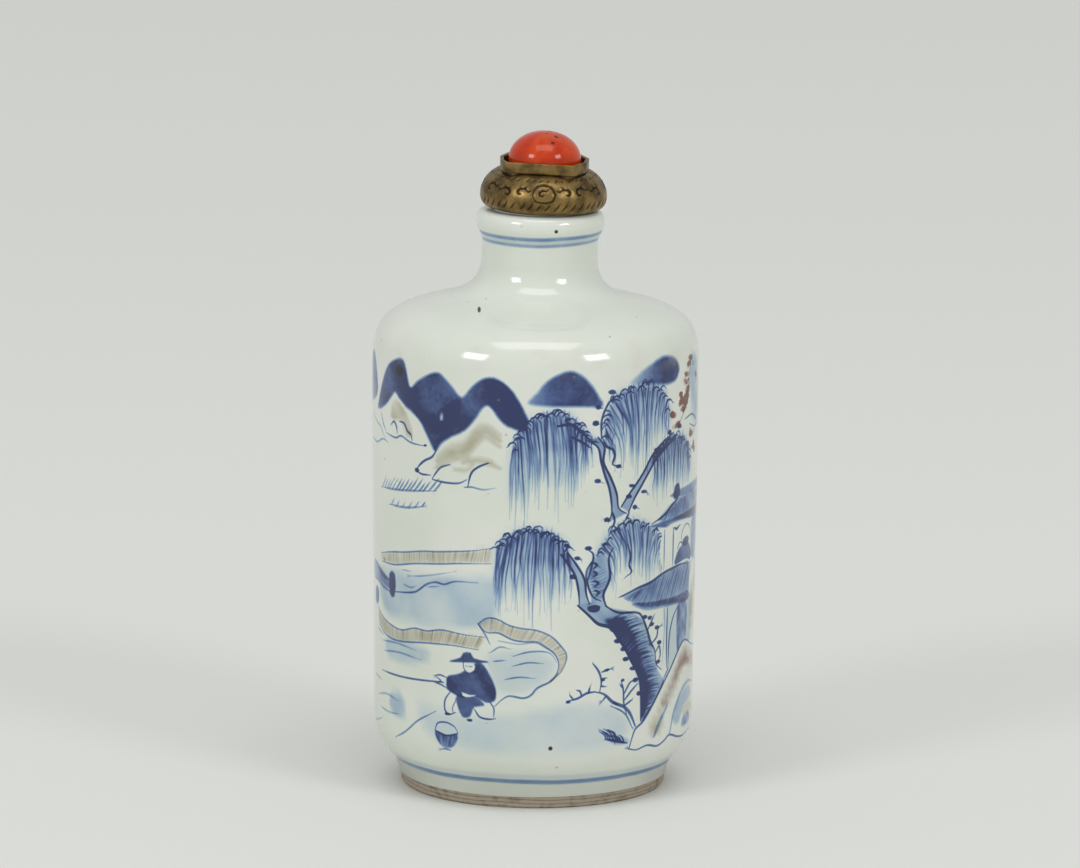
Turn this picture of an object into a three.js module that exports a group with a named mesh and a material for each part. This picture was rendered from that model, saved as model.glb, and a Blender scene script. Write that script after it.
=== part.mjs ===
// Porcelain snuff bottle: a thrown cylindrical bottle with a sloping shoulder, a short neck with a
// rolled lip and an unglazed foot ring. A stopper rests on the lip: an engraved brass collar that
// carries a bent brass bezel strip, and a coral cabochon set in the strip.
// Millimetres, +Z up, origin at the centre of the foot ring on the surface that the bottle stands on.
// The front of the painted wall faces -Y.
import * as THREE from 'three';

// Bottle, outside
const BODY_RADIUS = 18.6;
const BODY_RADIUS_LOW = 18.25;
const SHOULDER_HEIGHT = 49.6;
const NECK_RADIUS = 6.6;
const NECK_HEIGHT = 62.6;
const LIP_RADIUS = 7.3;
const LIP_HEIGHT = 66.3;

// Foot: a glazed band steps in to an unglazed ring, and the base inside the ring is recessed
const FOOT_RING_RADIUS = 15.1;
const FOOT_RING_HEIGHT = 1.3;
const FOOT_RING_INSIDE = 13.2;
const BASE_RECESS = 1.6;
const FOOT_BAND_RADIUS = 15.95;
const FOOT_BAND_HEIGHT = 3.2;

// Bottle, inside
const WALL = 2.4;
const FLOOR_HEIGHT = 4.3;
const BORE_RADIUS = 3.75;

// The neck was luted on a little to one side and leans by about a degree
const NECK_OFFSET = 0.28;
const NECK_LEAN = THREE.MathUtils.degToRad(1);
const LEAN_START = 53.6;
const LEAN_FULL = 58.6;
const LEAN_PIVOT = 56.6;

// Stopper: the heights are counted up from the underside of the collar
const COLLAR_RADIUS = 7.2;
const COLLAR_HEIGHT = 4.15;
const COLLAR_SHEET = 0.9;
const COLLAR_HOLE = 4.1;
const STRIP_THICKNESS = 0.4;
const STRIP_HEIGHT = 1.0;
const CORAL_RADIUS = 4.15;
const CORAL_GIRDLE = 0.75;
const CORAL_DOME = 3.3;
const SEAT_GAP = 0.3;
const STOPPER_GAP = 0.42;
const STOPPER_SHIFT = 0.25;
const STOPPER_LEAN = THREE.MathUtils.degToRad(1.6);
const STOPPER_NOD = THREE.MathUtils.degToRad(0.9);

const BOTTLE_SIDES = 48;
const COLLAR_SIDES = 36;
const CORAL_SIDES = 28;

const porcelain = new THREE.MeshStandardMaterial({ color: 0xc9cec4, roughness: 0.12, metalness: 0 });
const brass = new THREE.MeshStandardMaterial({ color: 0x7a5f2c, roughness: 0.38, metalness: 1 });
const coral = new THREE.MeshStandardMaterial({ color: 0xd24a1c, roughness: 0.15, metalness: 0 });

// A profile is drawn with its radius along x and its height along y; the lathe turns it about +Z.
function turned(profile, stepsPerCurve, sides) {
  const geometry = new THREE.LatheGeometry(profile.getPoints(stepsPerCurve), sides);
  return geometry.rotateX(Math.PI / 2);
}

function bottleProfile() {
  const inside = BODY_RADIUS - WALL;
  const insideLow = BODY_RADIUS_LOW - WALL;
  const path = new THREE.Path();
  path.moveTo(0, BASE_RECESS);
  path.lineTo(FOOT_RING_INSIDE - 0.5, BASE_RECESS);
  path.lineTo(FOOT_RING_INSIDE, 0);
  path.lineTo(FOOT_RING_RADIUS - 0.2, 0);
  path.lineTo(FOOT_RING_RADIUS, 0.25);
  path.lineTo(FOOT_RING_RADIUS + 0.1, FOOT_RING_HEIGHT);
  path.lineTo(FOOT_RING_RADIUS + 0.3, FOOT_RING_HEIGHT + 0.1);
  path.lineTo(FOOT_BAND_RADIUS, FOOT_BAND_HEIGHT);
  // rounded lower corner, then the wall, which widens slightly towards the shoulder
  path.bezierCurveTo(16.9, 4.2, BODY_RADIUS_LOW - 0.1, 5.4, BODY_RADIUS_LOW, 8.2);
  path.lineTo(BODY_RADIUS_LOW + 0.2, 28);
  path.lineTo(BODY_RADIUS, 42);
  path.lineTo(BODY_RADIUS, SHOULDER_HEIGHT);
  // shoulder corner, a nearly straight slope, and the hollow curve into the neck
  path.bezierCurveTo(BODY_RADIUS, 53.6, 16.6, 54.7, 13.4, 55.6);
  path.lineTo(10.6, 56.35);
  path.bezierCurveTo(7.6, 57.1, NECK_RADIUS, 58.6, NECK_RADIUS, 61.2);
  path.lineTo(NECK_RADIUS, NECK_HEIGHT);
  // rolled lip with a flat top
  path.bezierCurveTo(NECK_RADIUS, 63.5, LIP_RADIUS, 63.9, LIP_RADIUS, 65.0);
  path.bezierCurveTo(LIP_RADIUS, 65.8, LIP_RADIUS - 0.4, LIP_HEIGHT, LIP_RADIUS - 1.1, LIP_HEIGHT);
  path.lineTo(BORE_RADIUS + 0.6, LIP_HEIGHT);
  path.lineTo(BORE_RADIUS, LIP_HEIGHT - 0.6);
  // down the bore and round the inside of the body
  path.lineTo(BORE_RADIUS, 57.6);
  path.bezierCurveTo(BORE_RADIUS, 55.4, 6.0, 54.6, 9.4, 54.0);
  path.lineTo(12.4, 53.2);
  path.bezierCurveTo(15.2, 52.4, inside, 51.4, inside, 48.2);
  path.lineTo(inside, 42);
  path.lineTo(insideLow + 0.2, 28);
  path.lineTo(insideLow, 9.4);
  path.bezierCurveTo(insideLow, 6.2, 14.4, FLOOR_HEIGHT, 11.4, FLOOR_HEIGHT);
  path.lineTo(0, FLOOR_HEIGHT);
  return path;
}

// Above the shoulder everything moves sideways by the neck's offset and tips with its lean.
function leanNeck(geometry) {
  const position = geometry.getAttribute('position');
  const slope = Math.tan(NECK_LEAN);
  for (let i = 0; i < position.count; i += 1) {
    const x = position.getX(i);
    const z = position.getZ(i);
    const share = THREE.MathUtils.smoothstep(z, LEAN_START, LEAN_FULL);
    position.setX(i, x + share * (NECK_OFFSET + slope * (z - LEAN_PIVOT)));
    position.setZ(i, z - share * slope * x);
  }
  return geometry;
}

// Cushion-shaped collar raised from sheet: closed on top, turned in underneath round an open hole.
function collarProfile() {
  const inside = COLLAR_RADIUS - COLLAR_SHEET;
  const roof = COLLAR_HEIGHT - COLLAR_SHEET;
  const path = new THREE.Path();
  path.moveTo(0, roof);
  path.lineTo(4.5, roof);
  path.bezierCurveTo(5.4, roof - 0.2, inside, 2.4, inside, 1.3);
  path.lineTo(5.8, COLLAR_SHEET);
  path.lineTo(COLLAR_HOLE, COLLAR_SHEET);
  path.lineTo(COLLAR_HOLE, 0);
  path.lineTo(6.0, 0);
  path.bezierCurveTo(6.7, 0, COLLAR_RADIUS, 0.4, COLLAR_RADIUS, 1.2);
  path.bezierCurveTo(COLLAR_RADIUS, 2.3, 6.6, 3.5, 5.2, COLLAR_HEIGHT);
  path.lineTo(0, COLLAR_HEIGHT);
  return path;
}

// The strip is bent by hand round the stone: straight along the front, with a sharp bend at each
// end of that stretch, and roughly round behind.
function stripOutline(scale) {
  const bends = [
    [-4.5, -4.35], [3.3, -5.3], [4.75, -2.6], [5.05, 0.6], [4.1, 3.3],
    [1.6, 4.95], [-1.6, 4.95], [-4.1, 3.3], [-5.05, 0.4], [-5.0, -2.6],
  ];
  return bends.map(([x, y]) => new THREE.Vector2(x * scale, y * scale));
}

function stripGeometry() {
  const outline = new THREE.Shape(stripOutline(1));
  outline.holes.push(new THREE.Path(stripOutline(1 - STRIP_THICKNESS / 5)));
  return new THREE.ExtrudeGeometry(outline, { depth: STRIP_HEIGHT, bevelEnabled: false });
}

function coralProfile() {
  const path = new THREE.Path();
  path.moveTo(0, 0);
  path.lineTo(CORAL_RADIUS, 0);
  path.lineTo(CORAL_RADIUS, CORAL_GIRDLE);
  path.absellipse(0, CORAL_GIRDLE, CORAL_RADIUS, CORAL_DOME, 0, Math.PI / 2, false, 0);
  return path;
}

function piece(name, geometry, material) {
  const mesh = new THREE.Mesh(geometry, material);
  mesh.name = name;
  return mesh;
}

const bottle = piece('bottle', leanNeck(turned(bottleProfile(), 6, BOTTLE_SIDES)), porcelain);

const stopper = new THREE.Group();
const collar = piece('stopper_collar', turned(collarProfile(), 5, COLLAR_SIDES), brass);
const bezel = piece('stopper_bezel', stripGeometry(), brass);
bezel.position.z = COLLAR_HEIGHT + SEAT_GAP;
const cabochon = piece('coral_cabochon', turned(coralProfile(), 9, CORAL_SIDES), coral);
cabochon.position.z = COLLAR_HEIGHT + SEAT_GAP;
stopper.add(collar, bezel, cabochon);
const lipShift = NECK_OFFSET + Math.tan(NECK_LEAN) * (LIP_HEIGHT - LEAN_PIVOT);
stopper.position.set(lipShift + STOPPER_SHIFT, 0, LIP_HEIGHT + STOPPER_GAP);
stopper.rotation.set(STOPPER_NOD, STOPPER_LEAN, 0);

const group = new THREE.Group();
group.add(bottle, stopper);

export default group;
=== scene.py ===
import math
import random

import bmesh
import bpy
import numpy as np
from mathutils import Euler, Matrix, Vector
from mathutils.geometry import delaunay_2d_cdt


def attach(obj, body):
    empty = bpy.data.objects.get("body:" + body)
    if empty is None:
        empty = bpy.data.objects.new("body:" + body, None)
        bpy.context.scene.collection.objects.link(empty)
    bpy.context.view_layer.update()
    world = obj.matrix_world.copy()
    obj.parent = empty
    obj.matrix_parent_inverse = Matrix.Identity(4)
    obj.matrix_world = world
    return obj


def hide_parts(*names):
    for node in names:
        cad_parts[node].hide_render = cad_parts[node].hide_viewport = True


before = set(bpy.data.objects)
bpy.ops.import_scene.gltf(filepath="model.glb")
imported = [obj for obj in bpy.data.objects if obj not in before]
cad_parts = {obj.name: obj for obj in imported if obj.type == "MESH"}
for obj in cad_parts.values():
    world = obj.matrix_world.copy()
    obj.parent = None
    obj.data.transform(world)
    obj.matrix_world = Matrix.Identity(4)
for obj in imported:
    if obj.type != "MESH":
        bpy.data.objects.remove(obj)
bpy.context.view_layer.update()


# ---------------------------------------------------------------------------------------------
# The view. The camera stands about 0.8 m in front of the bottle, a little above it, with a long
# lens, and is turned half a degree.
# ---------------------------------------------------------------------------------------------
camera_data = bpy.data.cameras.new("camera")
camera_data.sensor_width = 36.0
camera_data.lens = 238.4
camera_data.clip_end = 50.0
camera = bpy.data.objects.new("camera", camera_data)
bpy.context.scene.collection.objects.link(camera)
camera.location = (0.00055, -0.802, 0.19157)
aim = Vector((0.00055, 0.0, 0.04027)) - camera.location
roll = Euler((0, 0, math.radians(0.45))).to_quaternion()
camera.rotation_euler = (aim.to_track_quat("-Z", "Y") @ roll).to_euler()
bpy.context.scene.camera = camera
bpy.context.scene.view_settings.view_transform = "Standard"


# ---------------------------------------------------------------------------------------------
# The studio. A pale floor that runs on into the backdrop, two small soft boxes in front at either
# side, and a large one overhead.
# ---------------------------------------------------------------------------------------------
class Value:
    """A node socket that Python's operators work on: each operation adds its Math node."""

    def __init__(self, shader, socket):
        self.shader = shader
        self.socket = socket

    def math(self, operation, *others):
        sockets = {i + 1: other for i, other in enumerate(others)}
        node = self.shader.node("ShaderNodeMath", {"operation": operation}, {0: self, **sockets})
        return node.out(0)

    def __add__(self, other):
        return self.math("ADD", other)

    def __radd__(self, other):
        return self.math("ADD", other)

    def __sub__(self, other):
        return self.math("SUBTRACT", other)

    def __rsub__(self, other):
        return (self * -1.0) + other

    def __mul__(self, other):
        return self.math("MULTIPLY", other)

    def __rmul__(self, other):
        return self.math("MULTIPLY", other)

    def __truediv__(self, other):
        return self.math("DIVIDE", other)

    def __pow__(self, other):
        return self.math("POWER", other)

    def __abs__(self):
        return self.math("ABSOLUTE")

    def least(self, other): return self.math("MINIMUM", other)

    def between(self, low, high):
        """0 below low, 1 above high, and a smooth step from one to the other."""
        node = self.shader.node("ShaderNodeMapRange", {"interpolation_type": "SMOOTHSTEP"},
            {"Value": self, "From Min": low, "From Max": high})
        return node.out(0)


class Node:
    """One node of a shader, whose outputs are had by name or number."""

    def __init__(self, shader, node):
        self.shader = shader
        self.node = node

    def out(self, name):
        return Value(self.shader, self.node.outputs[name])


class Shader:
    """A material's node tree. Every node comes from node(), which takes its type, its settings and
    the values or links of its sockets."""

    def __init__(self, name, **constants):
        self.material = bpy.data.materials.new(name)
        self.material.use_nodes = True
        self.tree = self.material.node_tree
        self.tree.nodes.clear()
        constants = {key.replace("_", " "): value for key, value in constants.items()}
        self.principled = self.node("ShaderNodeBsdfPrincipled", {}, constants)
        self.node("ShaderNodeOutputMaterial", {}, {"Surface": self.principled.out("BSDF")})

    def node(self, kind, settings, sockets):
        node = self.tree.nodes.new(kind)
        for name, setting in settings.items():
            if name == "stops":
                ramp = node.color_ramp
                while len(ramp.elements) < len(setting):
                    ramp.elements.new(1.0)
                for element, (position, colour) in zip(ramp.elements, setting):
                    element.position = position
                    element.color = (*colour, 1.0)
            else:
                setattr(node, name, setting)
        for name, value in sockets.items():
            self.feed(node.inputs[name], value)
        return Node(self, node)

    def feed(self, socket, value):
        if isinstance(value, Value):
            self.tree.links.new(value.socket, socket)
        elif isinstance(value, tuple) and socket.type == "RGBA":
            socket.default_value = (*value[:3], 1.0)
        else:
            socket.default_value = value

    def set(self, **values):
        for name, value in values.items():
            self.feed(self.principled.node.inputs[name.replace("_", " ")], value)

    def place(self):
        return self.node("ShaderNodeTexCoord", {}, {}).out("Object")

    def attribute(self, name):
        return self.node("ShaderNodeAttribute", {"attribute_name": name}, {}).out("Fac")

    def noise(self, size, detail=3.0, roughness=0.55, distortion=0.0, at=None):
        """Noise of about that size in metres, from 0 to 1."""
        sockets = {"Vector": at or self.place(), "Scale": 1.0 / size, "Detail": detail,
            "Roughness": roughness, "Distortion": distortion}
        return self.node("ShaderNodeTexNoise", {}, sockets).out("Fac")

    def mix(self, amount, a, b, blend="MIX"):
        """Colour a turned into, or blended with, colour b by that amount."""
        node = self.node("ShaderNodeMix", {"data_type": "RGBA", "blend_type": blend}, {})
        for index, value in ((0, amount), (6, a), (7, b)):
            self.feed(node.node.inputs[index], value)
        return Value(self, node.node.outputs[2])

    def ramp(self, amount, stops):
        node = self.node("ShaderNodeValToRGB", {"stops": stops}, {"Fac": amount})
        return node.out("Color")

    def bump(self, height, distance, strength=1.0):
        sockets = {"Height": height, "Distance": distance, "Strength": strength}
        self.set(Normal=self.node("ShaderNodeBump", {}, sockets).out("Normal"))


def finished(name, bm, materials, slot=None, smooth=True):
    """A mesh object at the origin, made from the bmesh."""
    mesh = bpy.data.meshes.new(name)
    bm.to_mesh(mesh)
    bm.free()
    for material in materials:
        mesh.materials.append(material)
    if smooth:
        mesh.shade_smooth()
    piece = bpy.data.objects.new(name, mesh)
    bpy.context.scene.collection.objects.link(piece)
    if slot:
        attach(piece, "root")
    return piece


floor_bm = bmesh.new()
bmesh.ops.create_circle(floor_bm, cap_ends=True, segments=96, radius=6.0)
floor_shader = Shader("pale_floor", Roughness=0.62)
away = floor_shader.node("ShaderNodeVectorMath", {"operation": "LENGTH"},
    {0: floor_shader.place()}).out("Value")
floor_shader.set(Base_Color=floor_shader.mix(away.between(0.15, 2.6), (0.745, 0.75, 0.715),
    (0.925, 0.925, 0.905)))
finished("floor", floor_bm, [floor_shader.material])


def soft_box(name, azimuth, elevation, distance, width, height, power, colour=(1.0, 1.0, 1.0)):
    """A rectangular light that faces the bottle. Azimuth 0 is in front of it, and 90 to its right."""
    light = bpy.data.lights.new(name, "AREA")
    light.shape = "RECTANGLE"
    light.size = width
    light.size_y = height
    light.energy = power
    light.color = colour
    lamp = bpy.data.objects.new(name, light)
    bpy.context.scene.collection.objects.link(lamp)
    around, up = math.radians(azimuth), math.radians(elevation)
    middle = Vector((0.0, 0.0, 0.04))
    aside, ahead = math.sin(around) * math.cos(up), math.cos(around) * math.cos(up)
    lamp.location = middle + distance * Vector((aside, -ahead, math.sin(up)))
    lamp.rotation_euler = (middle - lamp.location).to_track_quat("-Z", "Y").to_euler()


soft_box("light_left", -47, 29, 2.2, 0.62, 0.52, 9.8)
soft_box("light_right", 47, 29, 2.2, 0.62, 0.52, 9.0)
soft_box("light_overhead", 0, 72, 2.0, 1.5, 0.9, 9.6)
world = bpy.data.worlds.new("room")
world.use_nodes = True
world.node_tree.nodes["Background"].inputs["Color"].default_value = (0.98, 1.0, 0.99, 1.0)
world.node_tree.nodes["Background"].inputs["Strength"].default_value = 0.58
bpy.context.scene.world = world

# ---------------------------------------------------------------------------------------------
# The bottle. Thrown and turned porcelain, one hollow piece with its foot ring, painted under a
# clear glaze. The neck leans a degree to the right, as it came out of the kiln.
# ---------------------------------------------------------------------------------------------
MM = 0.001
COLUMNS = 168


def curve(start, first, second, end, steps):
    """The points of a cubic curve, without its start."""
    t = np.arange(1, steps + 1)[:, None] / steps
    a, b, c, d = (np.array(p) for p in (start, first, second, end))
    points = a * (1 - t) ** 3 + 3 * b * t * (1 - t) ** 2 + 3 * c * t ** 2 * (1 - t) + d * t ** 3
    return [tuple(point) for point in points]


def spun(outline, columns, closed=True):
    """A turned piece about the z axis, from an outline of radius and height."""
    bm = bmesh.new()
    rim = [bm.verts.new((0.0, -radius, height)) for radius, height in outline]
    edges = [bm.edges.new(pair) for pair in zip(rim, rim[1:] + (rim[:1] if closed else []))]
    bmesh.ops.spin(bm, geom=rim + edges, axis=(0, 0, 1), cent=(0, 0, 0), angle=2 * math.pi, steps=columns,
        use_merge=True)
    bmesh.ops.remove_doubles(bm, verts=bm.verts, dist=1e-7)
    return bm


def in_mm(points):
    return [(radius * MM, height * MM) for radius, height in points]


wall_outline = [(15.95, 3.2)] + curve((15.95, 3.2), (16.9, 4.2), (18.15, 5.4), (18.25, 8.2), 12)
wall_outline += [(18.45, 28.0), (18.6, 42.0), (18.6, 49.6)]
wall_outline += curve((18.6, 49.6), (18.6, 53.6), (16.6, 54.7), (13.4, 55.6), 24)
neck_outline = [(10.6, 56.35)] + curve((10.6, 56.35), (7.6, 57.1), (6.6, 58.6), (6.6, 61.2), 16)
neck_outline += [(6.6, 62.6)]
neck_outline += curve((6.6, 62.6), (6.6, 63.5), (7.3, 63.9), (7.3, 65.0), 10)
neck_outline += curve((7.3, 65.0), (7.3, 65.8), (6.9, 66.3), (6.2, 66.3), 8)
neck_outline += [(4.35, 66.3), (3.75, 65.7), (3.75, 57.6)]
inner_outline = curve((3.75, 57.6), (3.75, 55.4), (6.0, 54.6), (9.4, 54.0), 10) + [(12.4, 53.2)]
inner_outline += curve((12.4, 53.2), (15.2, 52.4), (16.2, 51.4), (16.2, 48.2), 10)
inner_outline += [(16.2, 42.0), (16.05, 28.0), (15.85, 9.4)]
inner_outline += curve((15.85, 9.4), (15.85, 6.2), (14.4, 4.3), (11.4, 4.3), 8) + [(0.0, 4.3)]
foot_outline = [(0.0, 1.6), (12.7, 1.6), (13.2, 0.2), (13.5, 0.0), (14.9, 0.0), (15.1, 0.25)]
foot_outline += [(15.2, 1.3), (15.4, 1.4)]


# ---------------------------------------------------------------------------------------------
# The painting. It was brushed on the unfired clay in cobalt blue, khaki and copper red, and lies
# flush under the glaze. Here it is brush marks on the unrolled wall, in millimetres: u runs round
# the bottle from the middle of the front towards the right, and v is the height.
# ---------------------------------------------------------------------------------------------
PIGMENTS = ("cobalt", "wash", "khaki", "copper", "iron")
COBALT, WASH, KHAKI, COPPER, IRON = range(5)
GIRTH = 2 * math.pi * 18.5
hand = random.Random(11)


def spline(points, step=0.3, closed=False):
    """A smooth curve through the points, with a point about every step millimetres."""
    p = np.array(points, float)
    if closed:
        p = np.vstack([p[-1:], p, p[:2]])
    else:
        p = np.vstack([2 * p[0] - p[1], p, 2 * p[-1] - p[-2]])
    out = []
    for a, b, c, d in zip(p, p[1:], p[2:], p[3:]):
        n = max(1, math.ceil(np.linalg.norm(c - b) / step))
        t = np.arange(n)[:, None] / n
        square, cube = 2 * a - 5 * b + 4 * c - d, 3 * b - a - 3 * c + d
        out.append(0.5 * (2 * b + (c - a) * t + square * t ** 2 + cube * t ** 3))
    if not closed:
        out.append(p[-2:-1])
    return np.vstack(out)


def sideways(path, closed=False):
    """The unit normals of a path, to the left of its run."""
    if closed:
        run = np.roll(path, -1, 0) - np.roll(path, 1, 0)
    else:
        run = np.gradient(path, axis=0)
    run /= np.maximum(np.linalg.norm(run, axis=1, keepdims=True), 1e-9)
    return np.stack([-run[:, 1], run[:, 0]], 1)


def near_segments(points, a, b):
    """For each point, its distance to the nearest of the segments, that segment, and how far along it."""
    best = np.full(len(points), 1e9)
    which = np.zeros(len(points), int)
    along = np.zeros(len(points))
    for i, (p, q) in enumerate(zip(a, b)):
        run = q - p
        t = np.clip((points - p) @ run / max(run @ run, 1e-12), 0, 1)
        d = np.hypot(*(points - p - t[:, None] * run).T)
        closer = d < best
        best[closer], which[closer], along[closer] = d[closer], i, t[closer]
    return best, which, along


def smooth(x):
    x = np.clip(x, 0, 1)
    return x * x * (3 - 2 * x)


class Painting:
    """The brush marks in the order in which they were made, and the mesh that they are cut into."""

    def __init__(self):
        self.marks = []

    def line(self, points, width=0.2, load=0.8, pigment=COBALT, start=0.5, end=0.3, fade=1.0, step=0.42,
        soft=0.1):
        """A brush line. start and end are the shares of the width that it has at its ends, and fade
        the share of the load that is left at its end."""
        path = spline(points, step)
        t = np.linspace(0, 1, len(path))
        shape = np.minimum(start + (1 - start) * smooth(t / 0.25), end + (1 - end) * smooth((1 - t) / 0.35))
        half = 0.5 * width * shape + 0.02
        loads = load * (1 + (fade - 1) * t)
        self.marks.append(("line", path, half, loads, pigment, min(soft, 0.9 * width)))

    def area(self, points, load=0.8, pigment=COBALT, soft=0.15, smooth_outline=True, step=0.65):
        """A brushed area. load is a number, or a function of u and v."""
        path = spline(points, step, closed=True) if smooth_outline else np.array(points, float)
        self.marks.append(("area", path, None, load, pigment, soft))

    def reserve(self, points, soft=0.12):
        """An area kept white among what is already painted there."""
        self.area(points, None, soft=soft)

    def loads(self, points):
        """The load of each pigment at each point."""
        out = np.zeros((5, len(points)))
        order = np.argsort(points[:, 0])
        ordered = points[order, 0]
        for kind, path, half, load, pigment, soft in self.marks:
            reach = soft + (half.max() if half is not None else 0)
            low, high = path.min(0) - reach, path.max(0) + reach
            some = order[np.searchsorted(ordered, low[0]):np.searchsorted(ordered, high[0])]
            some = some[(points[some, 1] > low[1]) & (points[some, 1] < high[1])]
            if not len(some):
                continue
            at = points[some]
            if kind == "line":
                d, i, t = near_segments(at, path[:-1], path[1:])
                width = half[i] * (1 - t) + half[i + 1] * t
                weight = load[i] * (1 - t) + load[i + 1] * t
                room = (1.05 - out[pigment, some]).clip(0)
                out[pigment, some] += room * weight * (1 - smooth((d - width + soft / 2) / soft))
                continue
            ends = np.roll(path, -1, 0)
            d, _, _ = near_segments(at, path, ends)
            inside = np.zeros(len(at), bool)
            for p, q in zip(path, ends):
                if p[1] != q[1]:
                    crosses = (p[1] > at[:, 1]) != (q[1] > at[:, 1])
                    meets = p[0] + (at[:, 1] - p[1]) * (q[0] - p[0]) / (q[1] - p[1])
                    inside ^= crosses & (at[:, 0] < meets)
            cover = smooth(0.5 + np.where(inside, d, -d) / soft)
            if load is None:
                out[:, some] *= 1 - cover
            else:
                out[pigment, some] += cover * (load(at[:, 0], at[:, 1]) if callable(load) else load)
        return out

    def cuts(self):
        """The points and edges that each mark cuts into the wall: both edges of its soft border."""
        for kind, path, half, load, pigment, soft in self.marks:
            closed = kind == "area"
            if closed and soft >= 0.8:
                continue        # a broad soft wash needs no edge of its own
            across = sideways(path, closed)
            if closed:
                offsets = (-soft / 2, soft / 2)
            else:
                offsets = (-half - soft / 2, -np.maximum(half - soft / 2, 0),
                    np.maximum(half - soft / 2, 0), half + soft / 2)
                if half.max() < 0.95 * soft:
                    offsets = (-half - soft / 2, 0.0, half + soft / 2)
            for offset in offsets:
                track = path + across * np.reshape(offset, (-1, 1))
                yield track, closed


picture = Painting()
stroke = picture.line
fill = picture.area


def uneven(load, spread=0.2, size=1.6, seed=0.0):
    """A load that varies in soft blotches."""
    def at(u, v):
        blotch = np.sin(u / size + seed) * np.sin(v / size * 1.3 + 2.1 * seed)
        blotch = blotch + 0.5 * np.sin(2.3 * u / size + 1.7 * v / size + seed)
        return np.clip(load * (1 + spread * blotch), 0, 1.2)
    return at


def dot(u, v, across, high=None, load=0.95, pigment=COBALT, soft=0.12):
    """A round touch of the brush, never quite even."""
    turn = hand.uniform(0, 6.28)
    high = high or across
    ring = [(u + 0.5 * across * math.cos(turn + k * 1.047) * hand.uniform(0.85, 1.1),
        v + 0.5 * high * math.sin(turn + k * 1.047) * hand.uniform(0.85, 1.1)) for k in range(6)]
    fill(ring, load, pigment, soft=soft, step=0.6 * min(across, high))


def strokes(start_edge, end_edge, count, width=0.14, load=0.6, fade=0.7, bow=0.0, stagger=0.25,
    pigment=COBALT, soft=0.12):
    """Rows of strokes that run from one edge to the other, such as hatching on a roof or a trunk."""
    a, b = spline(start_edge, 0.2), spline(end_edge, 0.2)
    for k in range(count):
        t = (k + hand.uniform(-stagger, stagger) + 0.5) / count
        p = a[int(np.clip(t, 0, 1) * (len(a) - 1))]
        q = b[int(np.clip(t, 0, 1) * (len(b) - 1))]
        q = p + (q - p) * hand.uniform(1 - stagger, 1)
        side = np.array([-(q - p)[1], (q - p)[0]]) * bow
        stroke([p, (p + q) / 2 + side, q], width * hand.uniform(0.7, 1.2), load * hand.uniform(0.7, 1.15),
            pigment, fade=fade, step=0.5, soft=soft)


def bank(upper, lower, hatches, khaki=0.8):
    """A low bank: a khaki strip between two fine lines, hatched in khaki and grey."""
    top, bottom = spline(upper, 0.6), spline(lower, 0.6)
    fill(np.vstack([top - (0, 0.15), bottom[::-1] + (0, 0.15)]), uneven(0.5 * khaki), KHAKI, 0.3,
        smooth_outline=False)
    strokes(upper, lower, hatches, 0.3, 0.45 * khaki, fade=0.9, stagger=0.15, pigment=KHAKI)
    strokes(upper, lower, hatches // 3, 0.1, 0.3, fade=0.6, stagger=0.3)
    stroke(upper, 0.17, 0.55, fade=0.9)
    stroke(lower, 0.17, 0.6, fade=0.9)


def willow(crown, tips, count, curls, load=0.75, wash=0.34):
    """A weeping crown: small curls along the crown, and strands that fall from it and fade. The tips
    are the places where the strands end, from left to right."""
    top, foot = spline(crown, 0.2), spline(tips, 0.2)
    part = top[::max(1, len(top) // 24)]
    below = foot[np.linspace(0, len(foot) - 1, len(part)).astype(int)]
    for share, amount, soft in ((0.72, 0.5, 2.4), (0.42, 0.5, 1.6), (0.16, 0.45, 0.9)):
        edge = part * (1 - share) + below * share
        fill(np.vstack([part - (0, 0.25), edge[::-1]]), amount * wash, WASH, soft, smooth_outline=False)
    for k in range(count):
        t = (k + hand.random()) / count
        p = top[int(t * (len(top) - 1))] - (0, hand.uniform(0.1, 1.6) * (k % 3 > 0))
        q = foot[int(np.clip(t + hand.uniform(-0.02, 0.02), 0, 1) * (len(foot) - 1))]
        reach = hand.uniform(0.55, 1.0) if k % 4 else hand.uniform(0.95, 1.1)
        q = p + (q - p) * reach
        bend = (p[0] + (q[0] - p[0]) * 0.8 + hand.uniform(-0.25, 0.25), p[1] + (q[1] - p[1]) * 0.38)
        stroke([p, bend, (q[0] + hand.uniform(-0.15, 0.15), (q[1] + bend[1]) / 2), q],
            hand.uniform(0.1, 0.2), load * hand.uniform(0.28, 0.75), start=0.7, end=0.2,
            fade=hand.uniform(0.3, 0.8), step=1.3, soft=0.14)
    for k in range(curls):
        p = top[int((k + hand.random()) / curls * (len(top) - 1))]
        p = p + (hand.uniform(-0.3, 0.3), hand.uniform(-0.9, -0.1))
        w, h = hand.uniform(0.3, 0.6), hand.uniform(0.2, 0.45)
        stroke([p - (w, 0.3 * h), p + (-0.5 * w, 0.7 * h), p + (0.3 * w, h), p + (w, 0.2 * h)], 0.15,
            hand.uniform(0.6, 0.95), step=0.45)


def bough(left, right, load=0.85, filling=0.3, knots=()):
    """A bough between its two outlines, lightly washed, with dark knots and spurs along it."""
    a, b = spline(left, 0.4), spline(right, 0.4)
    if filling:
        fill(np.vstack([a, b[::-1]]), filling, WASH, 0.3, smooth_outline=False)
    stroke(left, 0.24, load)
    stroke(right, 0.24, load)
    for u, v in knots:
        dot(u, v, hand.uniform(0.7, 1.0), hand.uniform(0.4, 0.65))
        stroke([(u - 0.3, v + 0.1), (u, v), (u + 0.4, v - 0.15)], 0.24, 0.8, step=0.3)


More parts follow.
